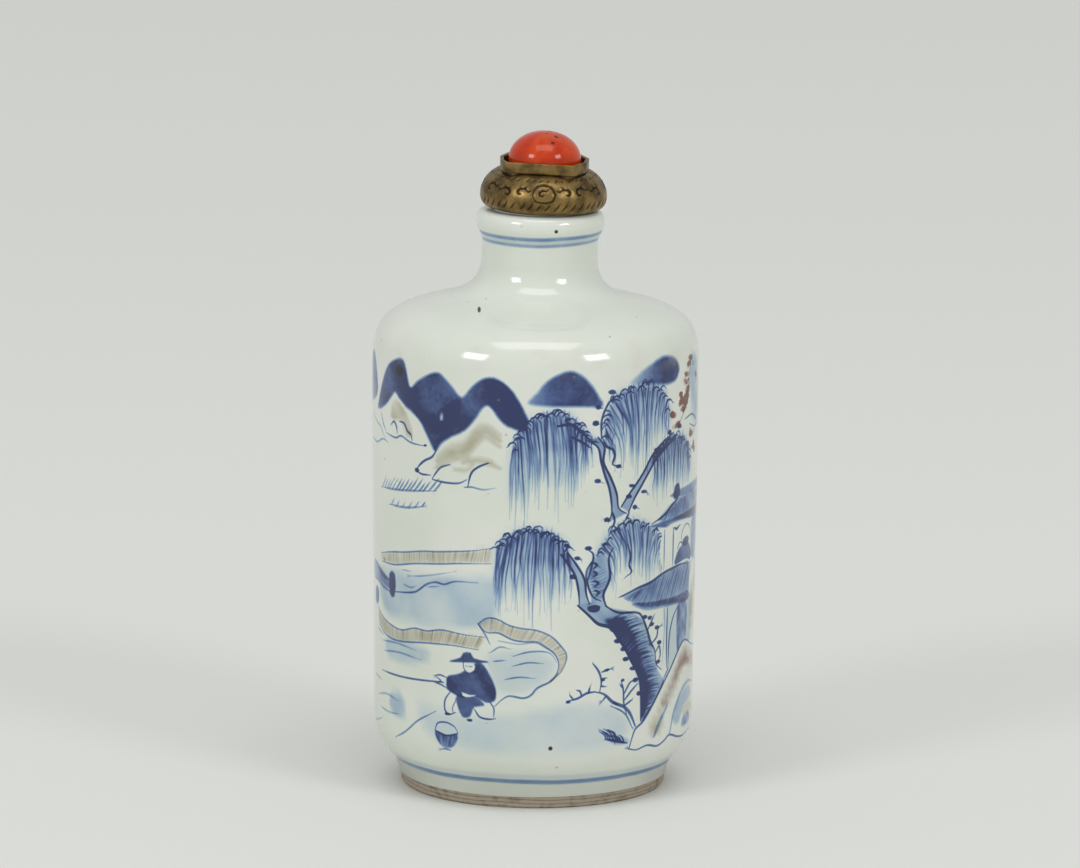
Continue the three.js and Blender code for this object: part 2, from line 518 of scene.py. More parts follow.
def far_hills(ridge, lower, load=1.0, seed=0.0):
    """Hills in one full brush of dark cobalt."""
    a, b = spline(ridge, 0.5), spline(lower, 0.5)
    fill(np.vstack([a, b[::-1]]), uneven(load, 0.16, 2.1, seed), COBALT, 0.4, smooth_outline=False)


def ripples(*lines, load=0.35, width=0.16):
    """Water lines, thin and pale."""
    for line in lines:
        stroke(line, width, load, start=0.2, end=0.1, fade=0.7)


def blossoms(middle, across, high, count, dark=0.3, load=0.8):
    """A cluster of small copper-red petals, the darkest nearly brown."""
    for k in range(count):
        turn, out = hand.uniform(0, 6.28), math.sqrt(hand.random())
        u, v = middle[0] + 0.5 * across * out * math.cos(turn), middle[1] + 0.5 * high * out * math.sin(turn)
        dot(u, v, hand.uniform(0.7, 1.15), hand.uniform(0.5, 0.85), load * hand.uniform(0.5, 1.1), COPPER)
        if hand.random() < dark:
            dot(u + 0.2, v - 0.1, 0.35, 0.3, 0.55, IRON)


def tuft(u, v, count, height, lean=0.5, load=0.7):
    """A tuft of grass blades."""
    for k in range(count):
        x = u + (k - count / 2) * 0.28 + hand.uniform(-0.1, 0.1)
        h = height * hand.uniform(0.6, 1.0)
        stroke([(x, v), (x + 0.3 * lean * h, v + 0.6 * h), (x + lean * h, v + h)], 0.16, load, end=0.15,
            step=0.4)


# Washes first: the river, the ground in front, and the haze about the trees.
fill([(-23, 26), (-15, 26.4), (-9, 26.9), (-4.8, 26.9), (-4.5, 22.6), (-9, 21), (-16, 20.8), (-22, 21.5)],
    uneven(0.20, 0.3, 2.6), WASH, 1.2)
fill([(-14, 11.6), (-8, 11), (-2, 11.6), (4, 12.6), (9, 12.2), (11.4, 10.4), (10.8, 8.2), (6, 7.2), (-2, 7),
    (-10, 7.4), (-13.6, 9)], uneven(0.13, 0.25, 3.4, 1.0), WASH, 2.0)
fill([(-5, 18.4), (0, 19), (2.4, 17.6), (1.6, 15.6), (-1.4, 14.2), (-4, 14.4), (-5, 16.5)], 0.14, WASH, 1.4)
fill([(-21, 18), (-15, 18.4), (-12.6, 17.4), (-15, 16.2), (-20.6, 16)], 0.2, WASH, 0.9)
fill([(-20, 11.8), (-17.6, 12), (-17.2, 9.8), (-19, 9.4), (-20.4, 10.4)], 0.3, WASH, 0.8)
fill([(22.6, 50.5), (25.4, 50), (26.6, 46), (25.6, 42.6), (23.4, 43.4), (22.8, 47)], uneven(0.3, 0.3), WASH,
    1.0)

# The far hills: one dark band over the left of the picture, a dome, and a smaller one by the willow.
fill([(-28.6, 44.9), (-27.9, 48.6), (-26.4, 50.4), (-25.1, 50.0), (-24.2, 48.4), (-23.8, 46.2),
    (-25.4, 44.9)], uneven(0.72, 0.12), COBALT, 0.5)
far_hills([(-23.8, 44.2), (-21.6, 48.2), (-20.2, 49.8), (-18.8, 50.5), (-17.7, 50.8), (-16.8, 50.2),
    (-15.9, 47.8), (-14.6, 48.7), (-13.0, 49.6), (-11.6, 50.0), (-10.6, 49.4), (-9.6, 48.5), (-8.5, 47.5),
    (-7.3, 48.7), (-6.4, 49.5), (-5.2, 50.0), (-3.9, 49.7), (-2.6, 48.6), (-1.5, 46.9), (-0.7, 45.0),
    (-1.5, 44.1)], [(-22.6, 44.3), (-20.9, 45.1), (-19.8, 46.0), (-18.8, 46.8), (-18.0, 46.3),
    (-16.7, 45.5), (-14.6, 44.5), (-13.2, 42.8), (-12.5, 41.7), (-11.9, 41.0), (-11.1, 42.0), (-9.8, 42.9),
    (-8.2, 43.7), (-6.8, 45.2), (-6.0, 46.4), (-5.4, 46.8), (-4.8, 46.4), (-4.0, 45.3), (-3.0, 44.5),
    (-1.7, 44.1)], 0.93)
fill([(-16.2, 47.6), (-14.4, 46), (-12.2, 45.3), (-10.6, 46.2), (-8.6, 47.4), (-9.4, 44.2), (-11, 42.6),
    (-13, 43.6), (-15.4, 45)], 0.13, COBALT, 0.5)
fill([(-4.6, 49.6), (-2.6, 48.5), (-0.9, 45.2), (-2.0, 44.3), (-3.2, 45.3), (-4.6, 47)], 0.2, COBALT, 0.5)
picture.reserve([(-11.25, 44.6), (-11.1, 45.5), (-10.95, 45.4), (-10.95, 44.7)], 0.45)
dot(-17.9, 49.4, 1.7, 1.5, 1.0, IRON, soft=0.35)
fill([(-0.8, 47.2), (0.2, 48.4), (1.2, 49.6), (2.5, 50.4), (3.9, 50.8), (5.2, 50.3), (6.4, 49.1),
    (7.2, 47.8), (7.7, 46.7), (4.5, 46.8), (1.4, 46.9)], lambda u,
    v: np.clip(0.55 + 0.16 * (u + 0.4), 0.4, 0.95), COBALT, 0.45)
fill([(11.2, 49.0), (12.6, 50.0), (14.6, 50.9), (16.6, 51.4), (18.6, 51.0), (19.5, 49.7), (18.8, 48.5),
    (17.0, 48.2), (14.6, 48.6), (12.8, 48.8)], lambda u, v: np.clip(0.3 + 0.16 * (u - 11.8), 0.25, 1.0),
    COBALT, 0.5)

# Two bare hills below them, outlined in blue and shaded in khaki.
fill([(-19.8, 43.9), (-19.2, 45.6), (-18.2, 45.9), (-16.6, 44.8), (-15.4, 42.6), (-16.4, 42.0),
    (-17.6, 43.8), (-18.8, 43.6)], uneven(0.55, 0.3, 0.8), KHAKI, 0.5)
stroke([(-20.9, 41.8), (-18.6, 41.6), (-17.5, 42.0), (-15.7, 41.5), (-13.4, 41.4)], 0.2, 0.6, start=0.3)
stroke([(-22.4, 43.8), (-21.8, 42.8), (-21.0, 42.0)], 0.18, 0.5)
stroke([(-26.0, 43.4), (-24.2, 42.6), (-22.6, 42.2), (-21.2, 41.0)], 0.17, 0.4)
stroke([(-26.4, 40.3), (-24.0, 40.2), (-22.0, 40.9), (-20.6, 40.8)], 0.2, 0.45)
stroke([(-19.4, 43.2), (-18.9, 43.4), (-18.4, 42.8), (-18.3, 42.2)], 0.26, 0.7)
stroke([(-17.7, 43.6), (-16.9, 43.5), (-16.3, 42.7), (-15.7, 42.4), (-15.5, 41.8)], 0.28, 0.75)
dot(-13.4, 41.5, 0.5, 0.3)
for shift, load in ((0.0, 0.62), (-0.7, 0.5), (0.6, 0.4)):
    stroke([(-11.7, 39.9 + shift), (-9.8, 41.0 + shift), (-7.9, 41.8 + shift), (-6.9, 43.0 + shift),
        (-5.6, 43.9 + shift), (-3.9, 42.9 + shift)], 0.8, load, KHAKI, end=0.5, soft=0.5)
stroke([(-8.3, 40.1), (-6.6, 40.5), (-5.4, 40.4), (-3.8, 39.7)], 0.8, 0.55, KHAKI, soft=0.5)
stroke([(-9.2, 39.2), (-7.8, 39.3), (-7.0, 39.9)], 0.6, 0.4, KHAKI, soft=0.4)
stroke([(-11.8, 41.1), (-12.4, 40.3), (-13.4, 39.8), (-14.2, 39.2), (-14.8, 38.5)], 0.24, 0.8)
dot(-14.7, 38.5, 0.8, 0.55)
stroke([(-14.8, 38.5), (-14.0, 38.15), (-12.6, 38.2)], 0.2, 0.75)
stroke([(-10.0, 39.7), (-11.1, 39.3), (-11.8, 38.6), (-12.4, 37.8)], 0.2, 0.7)
stroke([(-12.4, 37.75), (-10.6, 37.6), (-8.8, 37.7), (-7.8, 38.2)], 0.2, 0.75)
stroke([(-5.2, 40.3), (-6.5, 39.7), (-7.3, 38.9), (-7.7, 37.3)], 0.22, 0.85)
stroke([(-8.1, 37.3), (-7.2, 37.4), (-5.8, 37.2), (-4.3, 37.5)], 0.18, 0.6, fade=0.4)

# Grass on the open water, and the two khaki banks with the stream between them.
for base, count, height in (([(-22.4, 35.3), (-18.0, 35.7), (-11.7, 36.5)], 15, 1.5),
    ([(-20.1, 33.7), (-16.6, 33.9), (-13.4, 34.5)], 6, 0.8)):
    run = spline(base, 0.2)
    for k in range(count):
        p = run[int((k + 0.5) / count * (len(run) - 1))]
        tall = height * hand.uniform(0.7, 1.1)
        stroke([p, p + (0.45 * tall, 0.45 * tall), p + (0.85 * tall, 0.95 * tall)], 0.2,
            0.55 if k > 4 else 0.38, end=0.15, step=0.4)
    stroke(base, 0.24, 0.45, start=0.2, end=0.2)
bank([(-22.6, 27.6), (-20.0, 28.2), (-17.0, 28.7), (-13.8, 29.3), (-11.9, 29.5), (-8.8, 29.9), (-6.6, 30.2),
    (-4.7, 30.6)], [(-22.4, 26.7), (-19.0, 26.9), (-15.0, 27.7), (-11.1, 28.2), (-8.8, 28.5), (-4.9, 28.8)],
    44)
dot(-21.6, 27.0, 0.8, 0.4, 0.6, IRON, soft=0.25)
ripples([(-16.0, 26.1), (-13.6, 26.5), (-11.0, 27.1), (-9.4, 27.5)], [(-17.4, 26.6), (-15.6, 26.7)],
    [(-13.0, 25.3), (-11.4, 25.6)])
stroke([(-18.8, 23.8), (-15.5, 24.3), (-14.4, 24.8), (-13.2, 25.6), (-11.9, 26.0), (-10.7, 25.9),
    (-9.2, 26.4), (-6.5, 26.5)], 0.2, 0.6, fade=0.6)
ripples([(-17.2, 25.0), (-15.8, 24.8), (-14.8, 25.2)])
fill([(-20.2, 23.4), (-20.3, 25.6), (-19.8, 26.0), (-19.0, 25.8), (-18.8, 24.4), (-19.1, 23.2),
    (-19.7, 23.0)], 0.85, COBALT, 0.3)
stroke([(-25.6, 26.2), (-24.0, 25.9), (-22.0, 25.2), (-20.2, 24.9)], 0.5, 0.6, soft=0.3)
stroke([(-25.8, 24.2), (-23.8, 24.2), (-22.0, 23.8), (-20.3, 23.6)], 0.3, 0.5, soft=0.2)
fill([(-26.0, 24.4), (-24.0, 24.4), (-20.4, 23.9), (-20.4, 24.7), (-24.0, 25.7), (-26.0, 26.0)], 0.45, WASH,
    0.4)
fill([(-25.4, 21.6), (-25.3, 23.0), (-24.3, 23.4), (-23.7, 22.8), (-23.9, 21.7), (-24.6, 21.3)],
    uneven(0.65, 0.3), COBALT, 0.4)
bank([(-24.0, 21.0), (-21.6, 20.1), (-19.4, 19.7), (-17.5, 19.6), (-15.2, 20.2), (-13.2, 20.2),
    (-11.0, 20.6), (-8.2, 20.4), (-5.6, 20.3)], [(-23.6, 19.2), (-21.4, 18.4), (-18.5, 18.2), (-14.2, 18.7),
    (-12.0, 18.9), (-9.4, 19.0), (-6.3, 18.8)], 46, 0.95)
bank([(-6.4, 21.8), (-5.4, 22.5), (-4.2, 22.5), (-2.7, 21.8), (-1.2, 21.5), (0.4, 21.3), (2.0, 20.6),
    (3.1, 19.5), (3.8, 18.3), (3.2, 16.6), (2.0, 15.5)], [(-6.4, 21.8), (-5.4, 20.9), (-4.0, 20.9),
    (-2.4, 20.2), (-1.0, 20.0), (0.4, 20.0), (1.4, 19.4), (2.4, 18.6), (2.9, 17.4), (2.6, 16.2),
    (1.8, 15.4)], 34, 0.75)
stroke([(-6.4, 21.8), (-5.6, 20.7), (-5.0, 19.6)], 0.18, 0.55)
stroke([(-4.0, 20.0), (-2.6, 19.8), (-1.5, 19.7), (0.2, 19.9), (1.2, 19.4), (2.4, 18.7)], 0.14, 0.4)
ripples([(-2.3, 18.3), (-0.7, 18.8), (1.0, 18.9), (2.0, 18.6), (2.7, 17.6)],
    [(-2.2, 17.2), (-0.6, 17.6), (1.2, 17.5)], [(-3.2, 15.6), (-1.6, 15.9), (0.2, 15.8)],
    [(-4.9, 18.6), (-3.8, 19.3), (-2.6, 19.1)], [(-4.6, 17.6), (-3.2, 17.8)], load=0.5)
stroke([(2.8, 16.4), (2.1, 15.5), (0.5, 14.7), (-0.2, 13.9), (-1.1, 13.5), (-2.7, 13.7), (-3.6, 13.2),
    (-4.4, 12.4)], 0.2, 0.6)
ripples([(-22.5, 17.5), (-18.5, 17.9), (-15.0, 17.7)], [(-21.9, 16.4), (-18.0, 16.9), (-14.0, 16.7)],
    [(-24.2, 18.6), (-21.8, 18.2)], load=0.38, width=0.2)

# The angler, seated on a stone with hat, dark robe, rod and basket.
stroke([(-22.6, 14.0), (-17.0, 14.2), (-11.0, 14.6)], 0.2, 0.75, start=0.2, end=0.8)
fill([(-10.2, 15.4), (-8.6, 15.9), (-7.0, 17.1), (-6.0, 17.3), (-5.1, 16.2), (-4.3, 14.4), (-4.4, 13.1),
    (-5.4, 12.8), (-6.8, 13.4), (-8.6, 13.2), (-10.2, 13.8), (-10.4, 14.6)], uneven(0.93, 0.1, 0.9), COBALT,
    0.25)
fill([(-9.0, 13.3), (-6.6, 13.3), (-5.6, 12.4), (-6.8, 12.2), (-7.4, 11.0), (-8.3, 10.9), (-8.9, 12.0)],
    0.85, COBALT, 0.25)
picture.reserve([(-8.4, 13.75), (-7.4, 13.5), (-6.6, 13.6), (-7.4, 13.25), (-8.3, 13.3)], 0.15)
picture.reserve([(-8.1, 16.3), (-8.1, 17.2), (-6.9, 17.2), (-6.8, 16.5), (-7.4, 16.0)], 0.15)
stroke([(-8.2, 17.2), (-8.15, 16.5), (-7.5, 16.0), (-6.8, 16.4)], 0.12, 0.7)
stroke([(-7.9, 16.8), (-7.7, 16.82)], 0.1, 0.6, step=0.2)
stroke([(-7.4, 16.8), (-7.15, 16.8)], 0.1, 0.7, step=0.2)
fill([(-10.1, 17.1), (-8.6, 17.7), (-8.2, 18.3), (-7.3, 18.4), (-6.9, 17.8), (-5.1, 17.5), (-6.6, 17.3),
    (-8.2, 17.2)], 0.95, COBALT, 0.2)
stroke([(-12.0, 15.2), (-11.3, 15.4), (-10.4, 15.2)], 0.16, 0.7)
stroke([(-11.9, 14.4), (-11.2, 14.3), (-10.4, 14.0)], 0.16, 0.7)
stroke([(-11.9, 15.1), (-11.2, 14.8), (-11.6, 14.4)], 0.14, 0.7)
stroke([(-9.9, 13.6), (-10.6, 12.6), (-10.6, 11.4), (-10.0, 11.0), (-9.2, 11.3)], 0.17, 0.75)
stroke([(-9.2, 12.6), (-9.6, 11.8), (-9.5, 11.2)], 0.14, 0.65)
stroke([(-6.8, 11.9), (-6.2, 11.1), (-5.2, 10.9), (-4.3, 11.0)], 0.18, 0.75)
stroke([(-5.0, 12.9), (-4.5, 12.2), (-4.5, 11.2)], 0.15, 0.65)
dot(-10.3, 11.0, 0.8, 0.3)
dot(-7.4, 10.6, 0.8, 0.35)
fill([(-12.0, 8.9), (-10.4, 8.5), (-8.9, 8.9), (-9.2, 7.7), (-9.9, 7.1), (-11.0, 7.1), (-11.7, 7.8)],
    uneven(0.62, 0.3, 0.6), COBALT, 0.25)
strokes([(-11.9, 8.8), (-10.4, 8.5), (-9.0, 8.8)], [(-11.4, 7.3), (-10.4, 7.0), (-9.5, 7.3)], 8, 0.14, 0.5)
stroke([(-12.0, 9.0), (-11.6, 9.8), (-10.4, 10.0), (-9.3, 9.6), (-8.9, 8.9)], 0.16, 0.6)
stroke([(-12.0, 8.9), (-10.4, 8.5), (-8.9, 8.9)], 0.16, 0.8)
stroke([(-11.1, 6.8), (-10.7, 6.9), (-9.9, 6.8)], 0.2, 0.6)
stroke([(-19.3, 6.8), (-17.7, 7.5), (-16.5, 8.2), (-14.8, 9.5), (-13.2, 10.4), (-11.9, 11.1)], 0.2, 0.5,
    start=0.3, end=0.2)
ripples([(-24.2, 10.9), (-21.0, 11.5), (-18.4, 11.2)], [(-23.2, 9.6), (-20.4, 9.5), (-18.2, 9.7)],
    [(-26.4, 7.4), (-24.2, 7.9), (-22.4, 8.5)], [(-25.8, 13.0), (-22.8, 12.8)], load=0.36, width=0.24)

# The old willow: five weeping crowns, the forked boughs and the knotted trunk.
willow([(-2.4, 42.4), (-1.6, 44.3), (-0.6, 45.4), (0.8, 46.1), (2.2, 46.5), (3.8, 46.0), (5.0, 44.9),
    (6.6, 43.2)], [(-2.9, 34.8), (-1.4, 33.6), (0.6, 36.2), (1.6, 35.2), (3.4, 34.6), (4.6, 36.6),
    (5.6, 38.6), (6.6, 39.6)], 58, 30)
willow([(8.0, 43.5), (8.4, 46.4), (9.4, 48.0), (11.0, 48.6), (12.4, 48.9), (14.3, 48.9), (15.8, 48.2),
    (16.9, 46.8), (17.5, 45.4)], [(8.6, 40.6), (9.9, 38.8), (11.2, 40.4), (12.2, 37.8), (13.4, 38.6),
    (14.4, 40.0), (15.8, 41.4), (17.0, 41.4), (17.6, 42.2)], 56, 28)
willow([(14.8, 40.2), (16.0, 41.3), (17.6, 42.0), (19.4, 42.2), (21.0, 41.8), (22.2, 40.6), (22.9, 39.0)],
    [(14.9, 35.6), (16.4, 35.0), (18.0, 35.9), (19.6, 35.2), (21.2, 36.0), (22.4, 35.8), (23.2, 36.8)], 44,
    22, 0.8, 0.42)
willow([(-4.2, 30.9), (-3.2, 32.0), (-1.9, 32.8), (-0.2, 33.2), (1.4, 32.9), (2.7, 32.2), (3.9, 30.9)],
    [(-4.5, 25.2), (-3.9, 22.4), (-2.4, 23.4), (-0.8, 22.0), (0.8, 23.6), (2.0, 22.4), (3.2, 23.8),
    (4.4, 25.2)], 54, 28)
willow([(7.0, 29.6), (8.1, 31.4), (9.1, 32.6), (10.2, 33.2), (11.8, 33.5), (13.5, 33.0), (15.2, 32.0),
    (16.4, 30.5), (17.0, 29.0)], [(9.4, 25.0), (9.6, 26.0), (10.6, 28.0), (11.8, 26.2), (13.0, 26.8),
    (14.2, 25.8), (15.4, 26.8), (16.4, 26.4), (17.2, 27.0)], 54, 28)
trunk = [(5.0, 24.1), (6.4, 22.8), (7.5, 21.8), (9.1, 21.2), (10.2, 19.8), (11.2, 18.4), (11.9, 17.2),
    (12.9, 15.6), (13.4, 13.8), (13.5, 9.9), (13.9, 9.8), (14.9, 11.0), (16.2, 12.3), (17.3, 14.0),
    (16.2, 15.4), (15.8, 16.6), (15.2, 18.4), (14.4, 20.4), (13.3, 21.8), (11.4, 22.9), (9.4, 23.4),
    (8.4, 23.9), (8.1, 25.1), (8.9, 27.0), (8.7, 29.2), (7.0, 29.4), (6.2, 28.0), (6.1, 26.4), (6.6, 24.4)]
picture.reserve(trunk, 0.2)
fill(trunk, uneven(0.4, 0.2, 0.8), WASH, 0.3)
fill([(8.4, 22.2), (10.4, 22.2), (12.0, 20.4), (13.0, 18.2), (14.2, 15.2), (14.6, 12.8), (14.0, 10.4),
    (13.5, 10.2), (13.3, 13.6), (12.6, 15.8), (11.4, 18.2), (10.2, 20.0), (9.0, 21.2)],
    uneven(0.5, 0.25, 0.7), COBALT, 0.5)
strokes([(8.6, 21.4), (10.4, 19.8), (11.8, 17.4), (13.2, 14.8), (13.5, 12.0), (13.6, 10.4)],
    [(11.4, 22.8), (13.6, 21.4), (15.0, 18.4), (15.8, 16.2), (16.6, 13.6), (14.9, 11.2)], 64, 0.2, 0.7,
    fade=0.4, bow=0.12)
strokes([(6.6, 27.8), (6.7, 26.0), (7.2, 24.4)], [(8.5, 28.4), (8.6, 26.2), (7.9, 24.6)], 10, 0.14, 0.35,
    fade=0.5, bow=-0.1)
stroke([(5.0, 24.1), (6.4, 22.8), (7.5, 21.8), (9.1, 21.2), (10.2, 19.8), (11.2, 18.4), (11.9, 17.2),
    (12.9, 15.6), (13.4, 13.8), (13.5, 9.9)], 0.34, 0.95)
stroke([(8.5, 23.7), (8.1, 25.1), (8.9, 27.0), (8.7, 29.3), (9.3, 30.4)], 0.26, 0.85)
stroke([(8.4, 23.8), (10.0, 22.9), (12.6, 22.6), (13.5, 21.9), (14.3, 20.3), (14.8, 19.0), (15.6, 17.8),
    (15.9, 16.2), (16.8, 15.4)], 0.24, 0.8)
stroke([(17.3, 14.0), (16.2, 12.2), (14.8, 11.0), (13.8, 9.9)], 0.24, 0.8)
stroke([(18.3, 15.3), (17.2, 14.1)], 0.2, 0.6)
for u, v in ((6.6, 23.7), (9.4, 21.0), (10.0, 19.6), (10.8, 18.6), (11.2, 17.4), (12.2, 16.2), (12.6, 14.8),
    (13.2, 13.2)):
    dot(u, v, 1.0, 0.55)
dot(7.0, 23.6, 1.7, 0.9, 0.9)
for u, v in ((7.0, 28.6), (7.0, 27.6), (7.2, 26.5), (7.3, 25.4)):
    stroke([(u - 0.2, v + 0.3), (u + 0.25, v), (u - 0.1, v - 0.35)], 0.24, 0.9, step=0.3)
stroke([(6.9, 29.4), (6.0, 27.9), (6.2, 26.3), (6.8, 25.0), (7.8, 24.4)], 0.2, 0.75)
for u, v in ((13.9, 21.9), (14.7, 21.7), (15.9, 20.4), (16.4, 18.6), (15.0, 20.9), (16.2, 16.4)):
    dot(u, v, 0.9, 0.5)
stroke([(14.9, 18.6), (15.9, 19.3), (16.1, 20.2), (16.7, 20.5)], 0.2, 0.8)
stroke([(14.4, 20.4), (15.0, 21.3), (15.4, 21.9)], 0.2, 0.8)
stroke([(15.8, 17.6), (16.4, 18.2), (16.6, 17.0), (16.1, 16.4)], 0.2, 0.8)
bough([(6.0, 42.9), (7.2, 42.0), (7.6, 40.3), (8.1, 38.7), (8.7, 37.0), (9.0, 34.6), (8.6, 33.4)],
    [(7.2, 43.2), (8.0, 42.0), (7.9, 40.3), (8.8, 38.5), (9.6, 36.6), (9.9, 34.9), (10.9, 34.2)], 0.9, 0.45,
    ((7.2, 38.2), (8.4, 33.7), (9.8, 39.7), (6.9, 44.8), (7.2, 46.6)))
stroke([(2.4, 44.6), (4.0, 44.8), (5.2, 43.9), (6.2, 43.0)], 0.3, 0.85)
stroke([(4.0, 43.4), (5.0, 42.9), (6.4, 42.0)], 0.22, 0.8)
stroke([(7.8, 42.9), (8.3, 42.0), (9.0, 41.7), (9.3, 40.9), (9.0, 40.0), (9.6, 39.7)], 0.26, 0.9)
stroke([(7.6, 43.0), (7.6, 45.0), (8.2, 46.6), (9.0, 47.6)], 0.22, 0.85)
dot(8.9, 48.2, 1.1, 0.6)
bough([(10.2, 35.0), (11.2, 36.3), (12.5, 37.7), (13.5, 38.9), (14.6, 40.4), (16.4, 41.7), (18.4, 42.5)],
    [(11.2, 34.3), (12.1, 35.9), (13.0, 37.1), (14.0, 38.4), (15.2, 39.8), (17.0, 41.0), (19.0, 41.9)], 0.9,
    0.4, ((11.6, 37.3), (11.2, 36.1), (13.4, 36.4), (12.1, 34.8), (15.2, 40.9), (17.6, 42.6), (19.8, 43.0)))
stroke([(9.0, 34.6), (9.4, 33.5), (9.0, 32.6)], 0.24, 0.85)
stroke([(11.3, 34.2), (10.8, 33.4)], 0.24, 0.85)
bough([(3.0, 30.0), (3.9, 28.8), (4.7, 27.4), (5.1, 25.6), (5.2, 24.2)],
    [(3.8, 30.2), (5.0, 28.5), (5.8, 27.0), (6.0, 25.4), (6.4, 24.2)], 0.85, 0.35,
    ((4.9, 29.5), (4.4, 27.4), (3.7, 31.0), (6.2, 30.6)))
stroke([(6.2, 30.4), (6.8, 29.8), (6.6, 28.4), (6.2, 27.0)], 0.2, 0.8)
stroke([(11.2, 30.6), (11.6, 29.2), (11.4, 28.2), (11.8, 27.4), (11.0, 26.9)], 0.2, 0.85)

# Two roofs of the waterside pavilion, its posts, and a guest at the window.
picture.reserve([(14.2, 32.4), (16.8, 33.6), (19.4, 35.0), (27.0, 35.4), (27.0, 31.4), (19.0, 31.4),
    (17.0, 31.8)], 0.2)
fill([(16.0, 32.9), (19.5, 34.6), (27.0, 34.6), (27.0, 32.6), (18.0, 32.4)], uneven(0.48, 0.2, 1.2), WASH,
    0.5)
fill([(18.9, 34.9), (18.9, 35.6), (27.2, 35.8), (27.2, 34.9)], uneven(0.62, 0.2), COBALT, 0.3)
fill([(18.8, 34.8), (18.9, 36.2), (19.9, 36.4), (20.1, 35.2), (19.5, 34.7)], 0.9, COBALT, 0.25)
stroke([(19.7, 34.7), (18.3, 34.1), (16.8, 33.2), (14.7, 32.5)], 0.26, 0.8)
fill([(14.4, 32.3), (17.4, 32.5), (19.6, 32.6), (27.2, 32.8), (27.2, 32.0), (19.6, 31.7), (16.8, 31.8)],
    uneven(0.75, 0.2), COBALT, 0.25)
strokes([(17.4, 33.4), (21.0, 34.6), (26.8, 34.6)], [(16.4, 32.5), (21.0, 32.7), (26.4, 32.7)], 22, 0.13,
    0.5)
picture.reserve([(17.0, 26.8), (17.1, 31.6), (24.4, 31.4), (24.2, 26.8)], 0.3)
stroke([(17.0, 31.4), (17.0, 27.0)], 0.18, 0.5)
stroke([(18.8, 31.4), (18.8, 27.0)], 0.2, 0.7)
stroke([(19.0, 31.4), (19.6, 31.2), (20.2, 31.5)], 0.3, 0.8)
fill([(24.2, 31.6), (24.4, 27.2), (27.0, 27.4), (27.2, 31.8)], uneven(0.5, 0.2), WASH, 0.4)
fill([(19.4, 27.0), (19.8, 28.4), (20.8, 29.0), (22.4, 29.2), (23.6, 28.6), (24.0, 27.0)],
    uneven(0.8, 0.15), COBALT, 0.3)
stroke([(20.8, 29.3), (21.0, 30.6), (22.0, 31.3), (23.2, 31.0), (23.8, 29.8)], 0.16, 0.5)
fill([(21.0, 29.1), (21.4, 29.7), (22.4, 29.9), (23.2, 29.5), (22.6, 28.9)], 0.85, COBALT, 0.25)
stroke([(19.8, 28.8), (20.4, 29.5), (21.0, 29.3)], 0.16, 0.6)
picture.reserve([(11.2, 24.0), (14.7, 26.0), (18.9, 27.0), (23.6, 26.8), (23.6, 22.0), (14.2, 22.6)], 0.2)
roof = [(10.6, 24.7), (12.7, 25.4), (14.7, 25.8), (16.8, 26.5), (18.9, 26.8), (21.0, 26.9), (23.4, 26.6),
    (23.3, 22.6), (20.0, 22.7), (15.2, 22.9), (13.2, 23.2), (11.6, 24.0)]
fill(roof, uneven(0.42, 0.15, 1.0), COBALT, 0.25)
strokes([(12.2, 24.9), (16.8, 26.2), (21.0, 26.7), (24.6, 26.6)],
    [(10.9, 24.2), (14.2, 23.0), (18.2, 22.9), (22.6, 22.8)], 40, 0.2, 0.45, fade=0.9)
fill([(11.9, 23.7), (15.0, 23.5), (19.0, 23.4), (23.4, 23.4), (23.4, 22.4), (19.0, 22.5), (14.6, 22.6),
    (13.0, 23.0)], 0.45, COBALT, 0.2)
stroke([(10.4, 24.7), (12.7, 25.4), (14.7, 25.8), (16.8, 26.5), (18.9, 26.8), (21.0, 26.9), (23.4, 26.6)],
    0.26, 0.85)
fill([(17.2, 22.6), (17.6, 19.0), (17.8, 15.6), (18.2, 15.2), (20.6, 16.8), (20.6, 22.6)], 0.16, WASH, 0.4)
stroke([(17.9, 22.4), (17.8, 18.6), (17.9, 15.4)], 0.2, 0.65)
stroke([(17.2, 22.4), (17.3, 19.6), (17.0, 16.2)], 0.14, 0.4)
stroke([(20.3, 22.2), (19.4, 21.4), (18.7, 20.2), (18.3, 18.4), (18.2, 15.4)], 0.2, 0.7)
fill([(20.2, 22.2), (20.2, 17.0), (20.9, 17.4), (22.6, 18.0), (22.8, 22.2)], uneven(0.55, 0.3, 0.6), COBALT,
    0.3)
fill([(22.6, 18.2), (23.0, 22.4), (24.6, 22.4), (24.6, 17.6)], 0.25, WASH, 0.4)
fill([(23.8, 19.0), (24.2, 23.4), (26.8, 24.4), (27.4, 19.0)], uneven(0.4, 0.3, 0.9), KHAKI, 0.6)
fill([(24.2, 20.4), (24.6, 22.6), (25.6, 22.6), (25.4, 20.2)], 0.4, COPPER, 0.5)

# Blossom in copper red behind the willow.
stroke([(19.6, 43.2), (20.8, 44.6), (21.8, 46.6), (22.4, 48.8), (23.2, 50.6)], 0.3, 0.5, IRON, soft=0.2)
stroke([(21.2, 43.6), (23.4, 43.8), (25.6, 42.8)], 0.2, 0.6)
stroke([(22.6, 42.8), (24.6, 42.2), (26.2, 42.6)], 0.2, 0.5)
blossoms((21.6, 48.4), 1.8, 1.6, 10, 0.7, 0.5)
blossoms((22.8, 49.8), 2.0, 2.0, 12, 0.6, 0.5)
blossoms((20.7, 45.8), 2.8, 2.4, 26, 0.15, 0.85)
blossoms((21.9, 46.6), 1.8, 1.8, 12, 0.2, 0.75)
blossoms((18.4, 44.6), 1.0, 0.5, 5, 0.1, 0.8)
blossoms((19.1, 43.1), 1.2, 0.8, 6, 0.9, 0.7)
blossoms((23.4, 41.9), 1.8, 1.0, 9, 0.1, 0.6)
